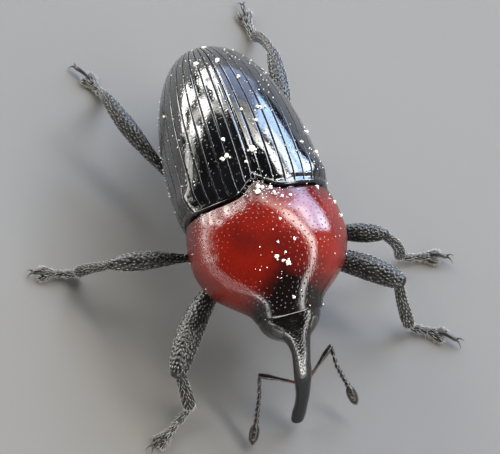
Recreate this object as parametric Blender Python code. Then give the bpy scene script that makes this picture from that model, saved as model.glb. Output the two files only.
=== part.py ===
"""A wavy flower weevil, a small snout beetle, standing on its six feet as a still model.

Lengths are in millimetres until the last step of each piece, which turns them into metres.
The head points to -Y, +Z is up, and the beetle's left side is +X. Z = 0 is the level that its
feet stand on.
"""
import math

import bmesh
import bpy
from mathutils import Vector

MM = 0.001
SIDES = {"left": 1.0, "right": -1.0}

# clearances between neighbouring pieces, scaled down with this very small animal
GAP = 0.02
FINE_GAP = 0.012

# wing cases: from their base, at y = 0, back to their tip
CASE_LENGTH = 2.90
CASE_HALF_WIDTH = 0.965
SHOULDER_AT = 0.30
SHOULDER_DROP = 0.055
CASE_WALL = 0.10
CASE_TOP = ((0.0, 2.07), (0.6, 2.18), (1.2, 2.14), (1.8, 1.96), (2.3, 1.66), (2.67, 1.30), (2.90, 0.97))
CASE_MARGIN = ((0.0, 1.16), (0.6, 1.06), (1.3, 0.97), (2.1, 0.90), (2.90, 0.86))
CASE_STATIONS = 22
STRIAE = 10
STRIA_DEPTH = 0.016
STRIA_HALF_ANGLE = 1.4
MARGIN_ANGLE = -15.0
SUTURE_GAP = 0.009

# the wavy line where the wing cases meet the prothorax
LOBE_REACH = 0.17
LOBE_WIDTH = 0.17
SINUS = -0.075
HIND_CORNER = 0.12

# prothorax: the shield behind the head, with its underside
SHIELD_FRONT = -1.50
SHIELD_SLANT = 0.42
SHIELD_HALF_WIDTH = ((-1.50, 0.42), (-1.40, 0.47), (-1.22, 0.67), (-1.0, 0.85), (-0.62, 0.975),
                     (-0.25, 0.97), (0.0, 0.90))
SHIELD_TOP = ((-1.50, 1.565), (-1.40, 1.67), (-1.15, 1.885), (-0.8, 2.06), (-0.4, 2.13), (0.0, 2.06))
SHIELD_BOTTOM = ((-1.50, 0.84), (-1.0, 0.64), (-0.5, 0.58), (0.0, 0.62))
SHIELD_LEVEL = ((-1.50, 1.20), (-1.0, 1.28), (-0.5, 1.36), (0.0, 1.42))

# middle and hind thorax in one piece, then the belly
THORAX_END = 1.42
BELLY_END = 2.84
BELLY_BOTTOM = ((0.0, 0.60), (0.7, 0.57), (1.42, 0.60), (2.2, 0.66), (2.84, 0.82))
BELLY_SEAMS = (1.92, 2.24, 2.44, 2.62)
SEAM_DEPTH = 0.02

# head and snout, a profile in rows: share along, place across, line of the back (y, z), line of
# the throat (y, z), half width, squareness of the upper side
FACE = (
    (0.00, 0.000, -1.02, 1.45, -1.02, 1.00, 0.240, 2.0),
    (0.16, 0.000, -1.16, 1.56, -1.12, 0.86, 0.355, 2.2),
    (0.30, 0.000, -1.32, 1.595, -1.24, 0.79, 0.405, 2.6),
    (0.42, 0.000, -1.47, 1.538, -1.36, 0.79, 0.380, 3.0),
    (0.50, 0.002, -1.575, 1.472, -1.44, 0.81, 0.322, 3.2),
    (0.56, 0.006, -1.655, 1.410, -1.50, 0.86, 0.252, 3.1),
    (0.62, 0.010, -1.725, 1.343, -1.56, 0.93, 0.176, 2.9),
    (0.68, 0.012, -1.792, 1.270, -1.63, 0.99, 0.142, 2.6),
    (0.76, 0.008, -1.884, 1.158, -1.71, 0.96, 0.120, 2.4),
    (0.86, -0.008, -1.978, 1.025, -1.79, 0.87, 0.114, 2.2),
    (1.00, -0.022, -2.076, 0.868, -1.88, 0.74, 0.114, 2.0),
    (1.22, -0.056, -2.182, 0.585, -2.02, 0.53, 0.090, 2.0),
    (1.36, -0.096, -2.238, 0.402, -2.08, 0.36, 0.084, 2.0),
    (1.47, -0.132, -2.274, 0.265, -2.12, 0.24, 0.090, 2.0),
    (1.55, -0.160, -2.294, 0.170, -2.16, 0.15, 0.084, 2.0),
)
SNOUT_START = 0.66
FACE_END = 1.55
EYE_SHARE = 0.54
EYE_TURN = 36.0
EYE_SUNK = 0.030
EYE_RADII = (0.042, 0.088, 0.098)

# feelers: root on the snout, elbow, knee of the first bead, root and tip of the club
FEELER_SHARE = 1.10
FEELERS = {
    "right": {"elbow": (-0.517, -1.79, 0.71), "bend": (-0.572, -1.957, 0.50),
              "club": (-0.690, -2.20, 0.26), "tip": (-0.792, -2.385, 0.11)},
    "left": {"elbow": (0.426, -1.70, 0.80), "bend": (0.432, -1.92, 0.68),
             "club": (0.525, -2.12, 0.45), "tip": (0.575, -2.30, 0.27)},
}
SCAPE_RADII = ((0.0, 0.020), (0.45, 0.022), (0.8, 0.035), (1.0, 0.030))
BEAD_RADIUS = 0.028
BEADS = 7
CLUB_RADIUS = 0.056

# legs: knee, ankle, middle of the two-lobed toe, tip of the claws, the thigh's outward bow and
# the outward bend of the shin
LEGS = {
    "front_right": {"knee": (-1.49, -1.56, 0.87), "ankle": (-1.40, -1.68, 0.13), "bow": 0.06,
                    "bend": -0.02, "lobe": (-1.82, -1.97), "claw": (-2.05, -2.09)},
    "front_left": {"knee": (1.505, -1.165, 0.94), "ankle": (1.57, -1.38, 0.13), "bow": 0.03,
                   "bend": -0.02, "lobe": (1.885, -1.55), "claw": (2.16, -1.79)},
    "middle_right": {"knee": (-1.88, 0.19, 0.79), "ankle": (-2.26, 0.57, 0.13), "bow": 0.0,
                     "bend": 0.05, "lobe": (-2.645, 0.71), "claw": (-2.905, 0.785)},
    "middle_left": {"knee": (1.53, -0.465, 0.94), "ankle": (1.765, -0.395, 0.13), "bow": 0.0,
                    "bend": 0.07, "lobe": (2.15, -0.47), "claw": (2.44, -0.59)},
    "hind_right": {"knee": (-1.325, 2.57, 0.90), "ankle": (-1.256, 3.07, 0.13), "bow": 0.04,
                   "bend": 0.05, "lobe": (-1.37, 3.41), "claw": (-1.57, 3.75)},
    "hind_left": {"knee": (0.98, 2.73, 0.76), "ankle": (0.93, 3.41, 0.13), "bow": 0.02,
                  "bend": 0.09, "lobe": (0.91, 3.78), "claw": (0.93, 4.08)},
}
HIPS = {"front": (0.34, -0.31, 0.67), "middle": (0.42, 0.14, 0.67), "hind": (0.56, 1.22, 0.69)}
THIGH_ROOTS = {"front": (0.24, 0.03, -0.06), "middle": (0.15, -0.13, -0.06), "hind": (0.21, -0.02, -0.07)}
HIP_RADII = {"front": (0.19, 0.19, 0.19), "middle": (0.17, 0.17, 0.17), "hind": (0.26, 0.15, 0.15)}
THIGH_THICKNESS = {"front": 0.160, "middle": 0.122, "hind": 0.115}
THIGH_RADII = {
    "front": ((0.0, 0.44), (0.12, 0.56), (0.3, 0.84), (0.6, 1.0), (0.82, 0.90), (0.95, 0.72), (1.0, 0.52)),
    "middle": ((0.0, 0.44), (0.3, 0.46), (0.46, 0.72), (0.6, 0.93), (0.74, 1.0), (0.88, 0.84),
               (0.96, 0.64), (1.0, 0.48)),
    "hind": ((0.0, 0.44), (0.14, 0.48), (0.36, 0.74), (0.6, 1.0), (0.8, 0.90), (0.95, 0.68), (1.0, 0.48)),
}
SHIN_RADII = ((0.0, 0.048), (0.16, 0.056), (0.5, 0.065), (0.82, 0.072), (0.94, 0.070), (1.0, 0.056))
SHIN_THICKNESS = {"front": 1.13, "middle": 1.0, "hind": 1.0}
THIGH_BOW = 0.05
TOE_HEIGHT = 0.045
TOE_RADII = ((0.0, 0.026), (0.12, 0.034), (0.38, 0.050), (0.46, 0.036), (0.54, 0.036), (0.78, 0.054),
             (0.86, 0.038), (1.0, 0.034))
LOBE_RADII = (0.046, 0.085, 0.045)
LOBE_SPREAD = 0.052
CLAW_RADII = ((0.0, 0.022), (0.6, 0.030), (1.0, 0.024))
CLAW_HOOK = 0.10


def clear_scene():
    for thing in list(bpy.data.objects):
        bpy.data.objects.remove(thing, do_unlink=True)


def smooth(table, at):
    """the value at a place, read from a short table of (place, value) rows along a smooth curve"""
    if at <= table[0][0]:
        return table[0][1]
    if at >= table[-1][0]:
        return table[-1][1]
    row = max(k for k in range(len(table) - 1) if table[k][0] <= at)

    def slope(k):
        if k == 0 or k == len(table) - 1:
            a, b = (0, 1) if k == 0 else (k - 1, k)
            return (table[b][1] - table[a][1]) / (table[b][0] - table[a][0])
        return (table[k + 1][1] - table[k - 1][1]) / (table[k + 1][0] - table[k - 1][0])

    (x0, y0), (x1, y1) = table[row], table[row + 1]
    run = x1 - x0
    t = (at - x0) / run
    return ((2 * t ** 3 - 3 * t ** 2 + 1) * y0 + (t ** 3 - 2 * t ** 2 + t) * run * slope(row)
            + (3 * t ** 2 - 2 * t ** 3) * y1 + (t ** 3 - t ** 2) * run * slope(row + 1))


def arc_point(half_width, height, fullness, angle):
    """a point of a rounded outline, its angle in degrees up from the +X side"""
    c, s = math.cos(math.radians(angle)), math.sin(math.radians(angle))
    power = 2.0 / fullness
    return (half_width * math.copysign(abs(c) ** power, c),
            height * math.copysign(abs(s) ** power, s))


def loft(rings):
    """points and faces of a closed skin over rings of equal count, a fan closing each end"""
    count = len(rings[0])
    points = [Vector(p) for ring in rings for p in ring]
    faces = []
    for row in range(len(rings) - 1):
        for k in range(count):
            a, b = row * count + k, row * count + (k + 1) % count
            faces.append((a, b, b + count, a + count))
    for row in (0, len(rings) - 1):
        middle = sum((Vector(p) for p in rings[row]), Vector()) / count
        points.append(middle)
        centre = len(points) - 1
        for k in range(count):
            faces.append((row * count + k, row * count + (k + 1) % count, centre))
    return points, faces


def solid(name, points, faces):
    """a closed mesh object in millimetres, its faces pointing out"""
    mesh = bpy.data.meshes.new(name)
    shape = bmesh.new()
    made = [shape.verts.new(p) for p in points]
    for face in faces:
        shape.faces.new([made[k] for k in face])
    bmesh.ops.recalc_face_normals(shape, faces=shape.faces[:])
    bmesh.ops.triangulate(shape, faces=shape.faces[:])
    shape.to_mesh(mesh)
    shape.free()
    thing = bpy.data.objects.new(name, mesh)
    bpy.context.scene.collection.objects.link(thing)
    return thing


def path_frames(path):
    """tangent and two side directions at each point of a path, turned as little as possible"""
    frames = []
    across = None
    for k, point in enumerate(path):
        ahead = (path[min(k + 1, len(path) - 1)] - path[max(k - 1, 0)]).normalized()
        if across is None:
            helper = Vector((0, 0, 1)) if abs(ahead.z) < 0.9 else Vector((1, 0, 0))
            across = ahead.cross(helper)
        across = (across - ahead * across.dot(ahead)).normalized()
        frames.append((ahead, across, across.cross(ahead)))
    return frames


def tube(path, radii, sides, grow=0.0, flatten=1.0):
    """rings round a path; grow makes the whole tube thicker and longer, flatten thins it upright"""
    rings = []
    frames = path_frames(path)
    last = len(path) - 1
    for k, point in enumerate(path):
        ahead, across, up = frames[k]
        centre = point - ahead * grow if k == 0 else point + ahead * grow if k == last else point
        radius = radii[k] + grow
        ring = []
        for n in range(sides):
            turn = 2 * math.pi * n / sides
            ring.append(centre + across * radius * math.cos(turn)
                        + up * (radii[k] * flatten + grow) * math.sin(turn))
        rings.append(ring)
    return loft(rings)


def ball(centre, radii, sides, rows, grow=0.0, axes=None):
    """a closed rounded body with its poles on its third axis"""
    axes = axes or (Vector((1, 0, 0)), Vector((0, 1, 0)), Vector((0, 0, 1)))
    size = [r + grow for r in radii]
    rings = []
    for row in range(1, rows):
        rise = math.pi * row / rows - math.pi / 2
        ring = []
        for n in range(sides):
            turn = 2 * math.pi * n / sides
            local = (math.cos(rise) * math.cos(turn), math.cos(rise) * math.sin(turn), math.sin(rise))
            ring.append(centre + sum((axes[i] * size[i] * local[i] for i in range(3)), Vector()))
        rings.append(ring)
    points, faces = loft(rings)
    points[-2] = centre - axes[2] * size[2]
    points[-1] = centre + axes[2] * size[2]
    return points, faces


def combine(piece, others, operation):
    """cut the others away from a piece, or join them to it, and remove them"""
    for other in others:
        change = piece.modifiers.new("change", "BOOLEAN")
        change.operation = operation
        change.solver = "EXACT"
        change.object = other
        other.hide_render = True
        other.display_type = "WIRE"
    view = bpy.context.evaluated_depsgraph_get()
    mesh = bpy.data.meshes.new_from_object(piece.evaluated_get(view))
    piece.modifiers.clear()
    piece.data = mesh
    for other in others:
        bpy.data.objects.remove(other, do_unlink=True)
    keep_largest(piece)
    return piece


def keep_largest(piece):
    """keep only the largest closed surface"""
    shape = bmesh.new()
    shape.from_mesh(piece.data)
    islands = []
    left = set(shape.verts)
    while left:
        reached, front = set(), [left.pop()]
        while front:
            vert = front.pop()
            reached.add(vert)
            for edge in vert.link_edges:
                other = edge.other_vert(vert)
                if other in left:
                    left.discard(other)
                    front.append(other)
        islands.append(reached)
    islands.sort(key=len, reverse=True)
    loose = [vert for island in islands[1:] for vert in island]
    bmesh.ops.delete(shape, geom=loose, context="VERTS")
    bmesh.ops.triangulate(shape, faces=shape.faces[:])
    shape.to_mesh(piece.data)
    shape.free()


def finish(name, colour, roughness):
    """the plain finish of one piece"""
    material = bpy.data.materials.new(name)
    material.use_nodes = True
    shader = material.node_tree.nodes["Principled BSDF"]
    shader.inputs["Base Color"].default_value = (*colour, 1.0)
    shader.inputs["Roughness"].default_value = roughness
    shader.inputs["Metallic"].default_value = 0.0
    return material


BLACK_SHELL = ((0.012, 0.012, 0.014), 0.22)
RED_SHELL = ((0.20, 0.012, 0.008), 0.18)
DARK_LEG = ((0.020, 0.020, 0.021), 0.42)
BROWN_FEELER = ((0.035, 0.014, 0.010), 0.40)
EYE_BLACK = ((0.010, 0.010, 0.011), 0.12)


def settle(piece, colouring, parent):
    """turn a finished piece into metres, with its own material, under the beetle's root"""
    for vert in piece.data.vertices:
        vert.co *= MM
    piece.data.materials.clear()
    piece.data.materials.append(finish(piece.name + "_finish", *colouring))
    piece.data.shade_smooth()
    piece.data.set_sharp_from_angle(angle=math.radians(38))
    piece.parent = parent
    return piece


def base_line(x):
    """how far back the wavy line behind the prothorax lies, at a distance from the middle"""
    lobe = (LOBE_REACH - SINUS) * math.exp(-(x / LOBE_WIDTH) ** 2) * 0.75
    return SINUS + lobe + HIND_CORNER * (abs(x) / CASE_HALF_WIDTH) ** 4


def case_half_width(y):
    if y < SHOULDER_AT:
        return CASE_HALF_WIDTH - SHOULDER_DROP * ((SHOULDER_AT - y) / SHOULDER_AT) ** 2
    along = (y - SHOULDER_AT) / (CASE_LENGTH + 0.01 - SHOULDER_AT)
    return CASE_HALF_WIDTH * (1.0 - along ** 2.4) ** (1 / 1.75)


def case_point(y, angle, inset):
    """across and up, on the wing case at y, a given depth under its surface"""
    margin = smooth(CASE_MARGIN, y)
    level = margin + 0.27 * (1.0 - 0.8 * y / CASE_LENGTH)
    width = case_half_width(y)
    height = smooth(CASE_TOP, y) - level
    depth = min(inset, 0.45 * width, 0.45 * height)
    if angle >= 0:
        x, z = arc_point(width - depth, height - depth, 2.2, angle)
    else:
        drop = (level - margin) / math.sin(math.radians(-MARGIN_ANGLE))
        x, z = arc_point(width - depth, drop, 2.0, angle)
    return x, level + z


def case_angles():
    """angles round a wing case, from its seam to its lower edge, with three for each stria"""
    step = (90.0 - MARGIN_ANGLE) / (STRIAE + 0.6)
    angles = []
    for k in range(1, STRIAE + 1):
        middle = 90.0 - step * k + 0.2 * step
        angles += [(middle + STRIA_HALF_ANGLE, 0.0), (middle, 1.0), (middle - STRIA_HALF_ANGLE, 0.0)]
    return [(90.0, 0.0)] + angles + [(MARGIN_ANGLE, 0.0)]


def case_stations():
    for k in range(CASE_STATIONS + 1):
        yield (CASE_LENGTH - 0.05) * (1.0 - (1.0 - k / CASE_STATIONS) ** 1.5)


def wing_case(side, scutellum_cutter):
    """one wing case: a curved wall with a groove along each stria"""
    sign = SIDES[side]
    inner = [90.0, 72.0, 54.0, 36.0, 18.0, 0.0, MARGIN_ANGLE]
    rings = []
    for y in case_stations():
        fade = min(1.0, y / 0.12, (CASE_LENGTH - y) / 0.5)
        ring = []
        for angle, groove in case_angles():
            x, z = case_point(y, angle, groove * STRIA_DEPTH * fade)
            ring.append((max(x, SUTURE_GAP), z))
        ring += [(max(case_point(y, a, CASE_WALL)[0], SUTURE_GAP), case_point(y, a, CASE_WALL)[1])
                 for a in reversed(inner)]
        front = max(0.0, 1.0 - y / 0.5)
        rings.append([(sign * x, y + (base_line(x) + GAP) * front, z) for x, z in ring])
    points, faces = loft(rings)
    return combine(solid("elytron_" + side, points, faces), [scutellum_cutter], "DIFFERENCE")


def scutellum(grow):
    """the small shield between the roots of the wing cases"""
    centre = Vector((0.0, base_line(0.0) + 0.075, smooth(CASE_TOP, 0.1) - 0.055))
    return ball(centre, (0.058, 0.070, 0.075), 12, 8, grow)


def body_ring(y, inset):
    """outline of the body under the wing cases at y"""
    upper = [90.0, 72.0, 54.0, 36.0, 18.0, 0.0, MARGIN_ANGLE]
    side = [case_point(y, a, CASE_WALL + GAP) for a in upper]
    margin = smooth(CASE_MARGIN, y) - GAP
    outer = case_point(y, MARGIN_ANGLE, 0.0)[0] - 0.012 - inset
    bottom = smooth(BELLY_BOTTOM, y) + inset
    side.append((side[-1][0], margin))
    for k in range(7):
        x, z = arc_point(outer, margin - bottom, 1.65, -15.0 * k)
        side.append((x, margin + z))
    left = [(-x, z) for x, z in reversed(side[1:-1])]
    return [(x, y, z) for x, z in side + left]


def trunk(name, stations):
    """a length of the body under the wing cases, from (place, inset) stations"""
    rings = []
    for y, inset in stations:
        front = max(0.0, 1.0 - y / 0.4)
        rings.append([(x, y + (base_line(x) + GAP) * front, z) for x, _, z in body_ring(y, inset)])
    return solid(name, *loft(rings))


def even(start, stop, count):
    return [start + (stop - start) * k / (count - 1) for k in range(count)]


def shield_ring(y):
    """outline of the prothorax at y, measured along its back"""
    half = smooth(SHIELD_HALF_WIDTH, y)
    top, bottom, level = smooth(SHIELD_TOP, y), smooth(SHIELD_BOTTOM, y), smooth(SHIELD_LEVEL, y)
    front = (y / SHIELD_FRONT)
    ahead = min(1.0, max(0.0, (-0.45 - y) / 0.5))
    square = 2.15 + 0.33 * ahead ** 2 * (3.0 - 2.0 * ahead)
    ring = []
    for k in range(36):
        angle = 10.0 * k
        if angle <= 180.0:
            x, z = arc_point(half, top - level, square, angle)
        else:
            x, z = arc_point(half, level - bottom, 1.75, angle)
        z += level
        back = base_line(x) * max(0.0, 1.0 + y / 0.6)
        slant = SHIELD_SLANT * front ** 2 * (top - z)
        ring.append((x, y + back + slant, z))
    return ring


def face_point(share, angle, grow=0.0):
    """a point of head or snout, its angle in degrees up from the +X side"""
    x, back_y, back_z, throat_y, throat_z, half, square = [
        smooth([(row[0], row[k]) for row in FACE], share) for k in range(1, 8)]
    rise = Vector((0.0, back_y - throat_y, back_z - throat_z))
    middle = Vector((x, (back_y + throat_y) / 2, (back_z + throat_z) / 2))
    fullness = square if angle <= 180.0 else 2.0
    across, up = arc_point(half + grow, rise.length / 2 + grow, fullness, angle)
    return middle + Vector((across, 0.0, 0.0)) + rise.normalized() * up


def face_skin(first, last, rows, count, grow=0.0):
    """closed skin of head or snout between two shares"""
    rings = [[face_point(share, 360.0 * k / count, grow) for k in range(count)]
             for share in even(first, last, rows)]
    rings[0] = [point + Vector((0.0, grow, 0.0)) for point in rings[0]]
    return loft(rings)


def face_middle(share):
    return (face_point(share, 90.0) + face_point(share, 270.0)) / 2


def eye_axes(side):
    """centre and axes of an eye on the side of the head beside the snout's root"""
    at = EYE_TURN if SIDES[side] > 0 else 180.0 - EYE_TURN
    place = face_point(EYE_SHARE, at)
    long = (face_point(EYE_SHARE + 0.01, at) - face_point(EYE_SHARE - 0.01, at)).normalized()
    tall = face_point(EYE_SHARE, at + 2.0) - face_point(EYE_SHARE, at - 2.0)
    tall = (tall - long * tall.dot(long)).normalized()
    out = long.cross(tall)
    if out.x * SIDES[side] < 0:
        out = -out
    return place - out * EYE_SUNK, (out, tall, long)


def make_head(root):
    """head capsule, eyes and snout"""
    head = solid("head", *face_skin(0.0, SNOUT_START, 11, 22))
    cutters = []
    for side in SIDES:
        centre, axes = eye_axes(side)
        cutters.append(solid("eye_socket_" + side, *ball(centre, EYE_RADII, 12, 7, FINE_GAP, axes)))
        eye = solid("eye_" + side, *ball(centre, EYE_RADII, 12, 7, 0.0, axes))
        settle(eye, EYE_BLACK, root)
    settle(combine(head, cutters, "DIFFERENCE"), BLACK_SHELL, root)
    settle(solid("rostrum", *face_skin(SNOUT_START + FINE_GAP, FACE_END, 14, 16)), BLACK_SHELL, root)


def make_feeler(side, root):
    """shaft, seven beads and club of one feeler"""
    places = {key: Vector(value) for key, value in FEELERS[side].items()}
    centre = face_middle(FEELER_SHARE)
    ahead = (face_middle(FEELER_SHARE + 0.02) - face_middle(FEELER_SHARE - 0.02)).normalized()
    half = smooth([(row[0], row[6]) for row in FACE], FEELER_SHARE)
    out = places["elbow"] - centre
    out = (out - ahead * out.dot(ahead)).normalized()
    start = centre + out * (half + FINE_GAP)
    shaft = [start.lerp(places["elbow"], t) for t in even(0.0, 1.0, 8)]
    radii = [smooth(SCAPE_RADII, t) for t in even(0.0, 1.0, 8)]
    scape = solid("scape_" + side, *tube(shaft, radii, 8))
    settle(scape, BROWN_FEELER, root)

    drop = (places["bend"] - places["elbow"]).normalized()
    elbow = places["elbow"] + drop * (SCAPE_RADII[-1][1] + FINE_GAP)
    line = [elbow, places["bend"], places["club"]]
    lengths = [(line[1] - line[0]).length, (line[2] - line[1]).length]
    beads, radii = [], []
    for k in range(3 * BEADS + 1):
        t = k / (3 * BEADS)
        reach = t * sum(lengths)
        if reach < lengths[0]:
            beads.append(line[0].lerp(line[1], reach / lengths[0]))
        else:
            beads.append(line[1].lerp(line[2], (reach - lengths[0]) / lengths[1]))
        radii.append(BEAD_RADIUS * ((0.62, 1.0, 1.0)[k % 3]) * (0.85 + 0.35 * t))
    settle(solid("funicle_" + side, *tube(beads, radii, 8)), BROWN_FEELER, root)

    first = places["club"] + (places["tip"] - places["club"]).normalized() * FINE_GAP
    club = [first.lerp(places["tip"], t) for t in even(0.0, 1.0, 9)]
    radii = [CLUB_RADIUS * w for w in (0.50, 0.84, 0.98, 0.90, 1.0, 0.90, 0.84, 0.60, 0.22)]
    settle(solid("club_" + side, *tube(club, radii, 10)), BROWN_FEELER, root)


def leg_path(start, stop, bow, count):
    """points from one joint to the next, with its middle moved by the bow"""
    return [start.lerp(stop, t) + bow * math.sin(math.pi * t) for t in even(0.0, 1.0, count)]


def outward(start, stop):
    """the level direction square to a leg's part that points away from the body"""
    run = stop - start
    side = Vector((run.y, -run.x, 0.0)).normalized()
    return side if side.x * stop.x > 0 else -side


def press_flat(piece):
    """flatten what would reach below the level that the feet stand on"""
    for vert in piece.data.vertices:
        vert.co.z = max(vert.co.z, 0.0)


def hip_place(name):
    """centre of the hip of a leg"""
    pair, side = name.split("_")
    x, y, z = HIPS[pair]
    return Vector((SIDES[side] * x, y, z))


def hip(name, grow):
    return ball(hip_place(name), HIP_RADII[name.split("_")[0]], 12, 8, grow)


def make_leg(name, root):
    """hip, thigh, shin, toes and claws of one leg, each cut clear of the one before"""
    pair, side = name.split("_")
    knee, ankle = Vector(LEGS[name]["knee"]), Vector(LEGS[name]["ankle"])
    lobe = Vector((*LEGS[name]["lobe"], TOE_HEIGHT))
    claw = Vector((*LEGS[name]["claw"], 0.03))
    settle(solid("coxa_" + name, *hip(name, 0.0)), DARK_LEG, root)

    out, back, down = THIGH_ROOTS[pair]
    start = hip_place(name) + Vector((SIDES[side] * out, back, down))
    bow = outward(start, knee) * LEGS[name]["bow"] + Vector((0, 0, THIGH_BOW))
    thigh = leg_path(start, knee, bow, 13)
    width = [THIGH_THICKNESS[pair] * smooth(THIGH_RADII[pair], t) for t in even(0.0, 1.0, 13)]
    femur = solid("femur_" + name, *tube(thigh, width, 12, 0.0, 0.92))
    cutter = solid("hip_cutter", *hip(name, FINE_GAP))
    settle(combine(femur, [cutter], "DIFFERENCE"), DARK_LEG, root)

    top = knee - (knee - thigh[-3]).normalized() * 0.05
    away = Vector((ankle.x, ankle.y, 0.0)) - Vector((start.x, start.y, 0.0))
    shin = leg_path(top, ankle, away.normalized() * LEGS[name]["bend"], 11)
    shin_radii = [SHIN_THICKNESS[pair] * smooth(SHIN_RADII, t) for t in even(0.0, 1.0, 11)]
    tibia = solid("tibia_" + name, *tube(shin, shin_radii, 10))
    cutter = solid("thigh_cutter", *tube(thigh, width, 12, FINE_GAP, 0.92))
    settle(combine(tibia, [cutter], "DIFFERENCE"), DARK_LEG, root)

    foot = Vector((ankle.x, ankle.y, TOE_HEIGHT + 0.02))
    toes = leg_path(foot, lobe, Vector(), 13)
    radii = [smooth(TOE_RADII, t) for t in even(0.0, 1.0, 13)]
    tarsus = solid("tarsus_" + name, *tube(toes, radii, 8))
    ahead = (claw - lobe) * Vector((1, 1, 0))
    ahead.normalize()
    across = Vector((-ahead.y, ahead.x, 0.0))
    pads = []
    for turn in (-1.0, 1.0):
        along = (ahead + across * turn * 0.35).normalized()
        centre = lobe + across * turn * LOBE_SPREAD + ahead * 0.03
        axes = (Vector((-along.y, along.x, 0.0)), Vector((0, 0, 1)), along)
        size = (LOBE_RADII[0], LOBE_RADII[2], LOBE_RADII[1])
        pads.append(solid("pad", *ball(centre, size, 8, 5, 0.0, axes)))
    combine(tarsus, pads, "UNION")
    cutter = solid("shin_cutter", *tube(shin, shin_radii, 10, FINE_GAP))
    combine(tarsus, [cutter], "DIFFERENCE")
    press_flat(tarsus)
    settle(tarsus, DARK_LEG, root)

    first = lobe + ahead * 0.03 + Vector((0, 0, 0.055))
    last = claw - ahead * CLAW_HOOK + Vector((0, 0, 0.045))
    stalk = leg_path(first, last, Vector((0, 0, 0.02)), 5)
    radii = [smooth(CLAW_RADII, t) for t in even(0.0, 1.0, 5)]
    claws = solid("claws_" + name, *tube(stalk, radii, 6))
    hooks = []
    for turn in (-1.0, 1.0):
        hook = []
        for t in even(0.0, 1.0, 4):
            hook.append(last - ahead * 0.01 + (ahead + across * turn * 0.55) * CLAW_HOOK * t
                        + Vector((0, 0, 0.035 * math.sin(math.pi * t) - 0.060 * t * t)))
        hooks.append(solid("hook", *tube(hook, [0.013 * (1.0 - 0.62 * t) for t in even(0, 1, 4)], 5)))
    combine(claws, hooks, "UNION")
    settle(claws, DARK_LEG, root)


def make_body(root):
    """prothorax, wing cases, scutellum, thorax and belly, with sockets for the hips and the head"""
    shield_stations = [-1.50, -1.46, -1.40, -1.32, -1.22, -1.10, -0.96, -0.80, -0.62, -0.44, -0.26,
                       -0.12, -0.03, 0.0]
    prothorax = solid("prothorax", *loft([shield_ring(y) for y in shield_stations]))
    sockets = [solid("head_socket", *face_skin(0.0, SNOUT_START, 11, 22, GAP))]
    thorax_sockets, belly_sockets = [], []
    for name in LEGS:
        socket = solid("socket_" + name, *hip(name, GAP))
        if name.startswith("front"):
            sockets.append(socket)
        else:
            thorax_sockets.append(socket)
        if name.startswith("hind"):
            belly_sockets.append(solid("belly_" + name, *hip(name, GAP)))
    settle(combine(prothorax, sockets, "DIFFERENCE"), RED_SHELL, root)

    settle(solid("scutellum", *scutellum(0.0)), BLACK_SHELL, root)
    for side in SIDES:
        cutter = solid("scutellum_cutter", *scutellum(FINE_GAP))
        settle(wing_case(side, cutter), BLACK_SHELL, root)
    thorax_sockets.append(solid("scutellum_cutter", *scutellum(FINE_GAP)))
    thorax = trunk("pterothorax", [(y, 0.0) for y in even(0.0, THORAX_END, 12)])
    settle(combine(thorax, thorax_sockets, "DIFFERENCE"), BLACK_SHELL, root)

    stations = [(THORAX_END + GAP, 0.0), (1.56, 0.0), (1.74, 0.0)]
    for seam in BELLY_SEAMS:
        stations += [(seam - 0.02, 0.0), (seam, SEAM_DEPTH), (seam + 0.02, 0.0)]
    stations += [(2.72, 0.01), (2.79, 0.04), (BELLY_END, 0.09)]
    belly = trunk("abdomen", stations)
    settle(combine(belly, belly_sockets, "DIFFERENCE"), BLACK_SHELL, root)


def centre_footprint(root):
    """move the whole beetle so that its footprint is centred on the origin"""
    corners = [vert.co for thing in root.children for vert in thing.data.vertices]
    for axis in (0, 1):
        low, high = min(c[axis] for c in corners), max(c[axis] for c in corners)
        root.location[axis] = -0.5 * (low + high)


def main():
    clear_scene()
    root = bpy.data.objects.new("weevil", None)
    bpy.context.scene.collection.objects.link(root)
    make_body(root)
    make_head(root)
    for side in SIDES:
        make_feeler(side, root)
    for name in LEGS:
        make_leg(name, root)
    centre_footprint(root)
    bpy.context.view_layer.update()


main()
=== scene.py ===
# %% [markdown]
# # Dressing a wavy flower weevil
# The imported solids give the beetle's true sizes. This script puts a fine skin over each of them:
# pitted shells, netted legs, bristles, pads and dust, then a floor, light and a camera.

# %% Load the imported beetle
import math

import bpy
import numpy as np
from mathutils import Matrix, Vector
from mathutils.kdtree import KDTree


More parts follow.
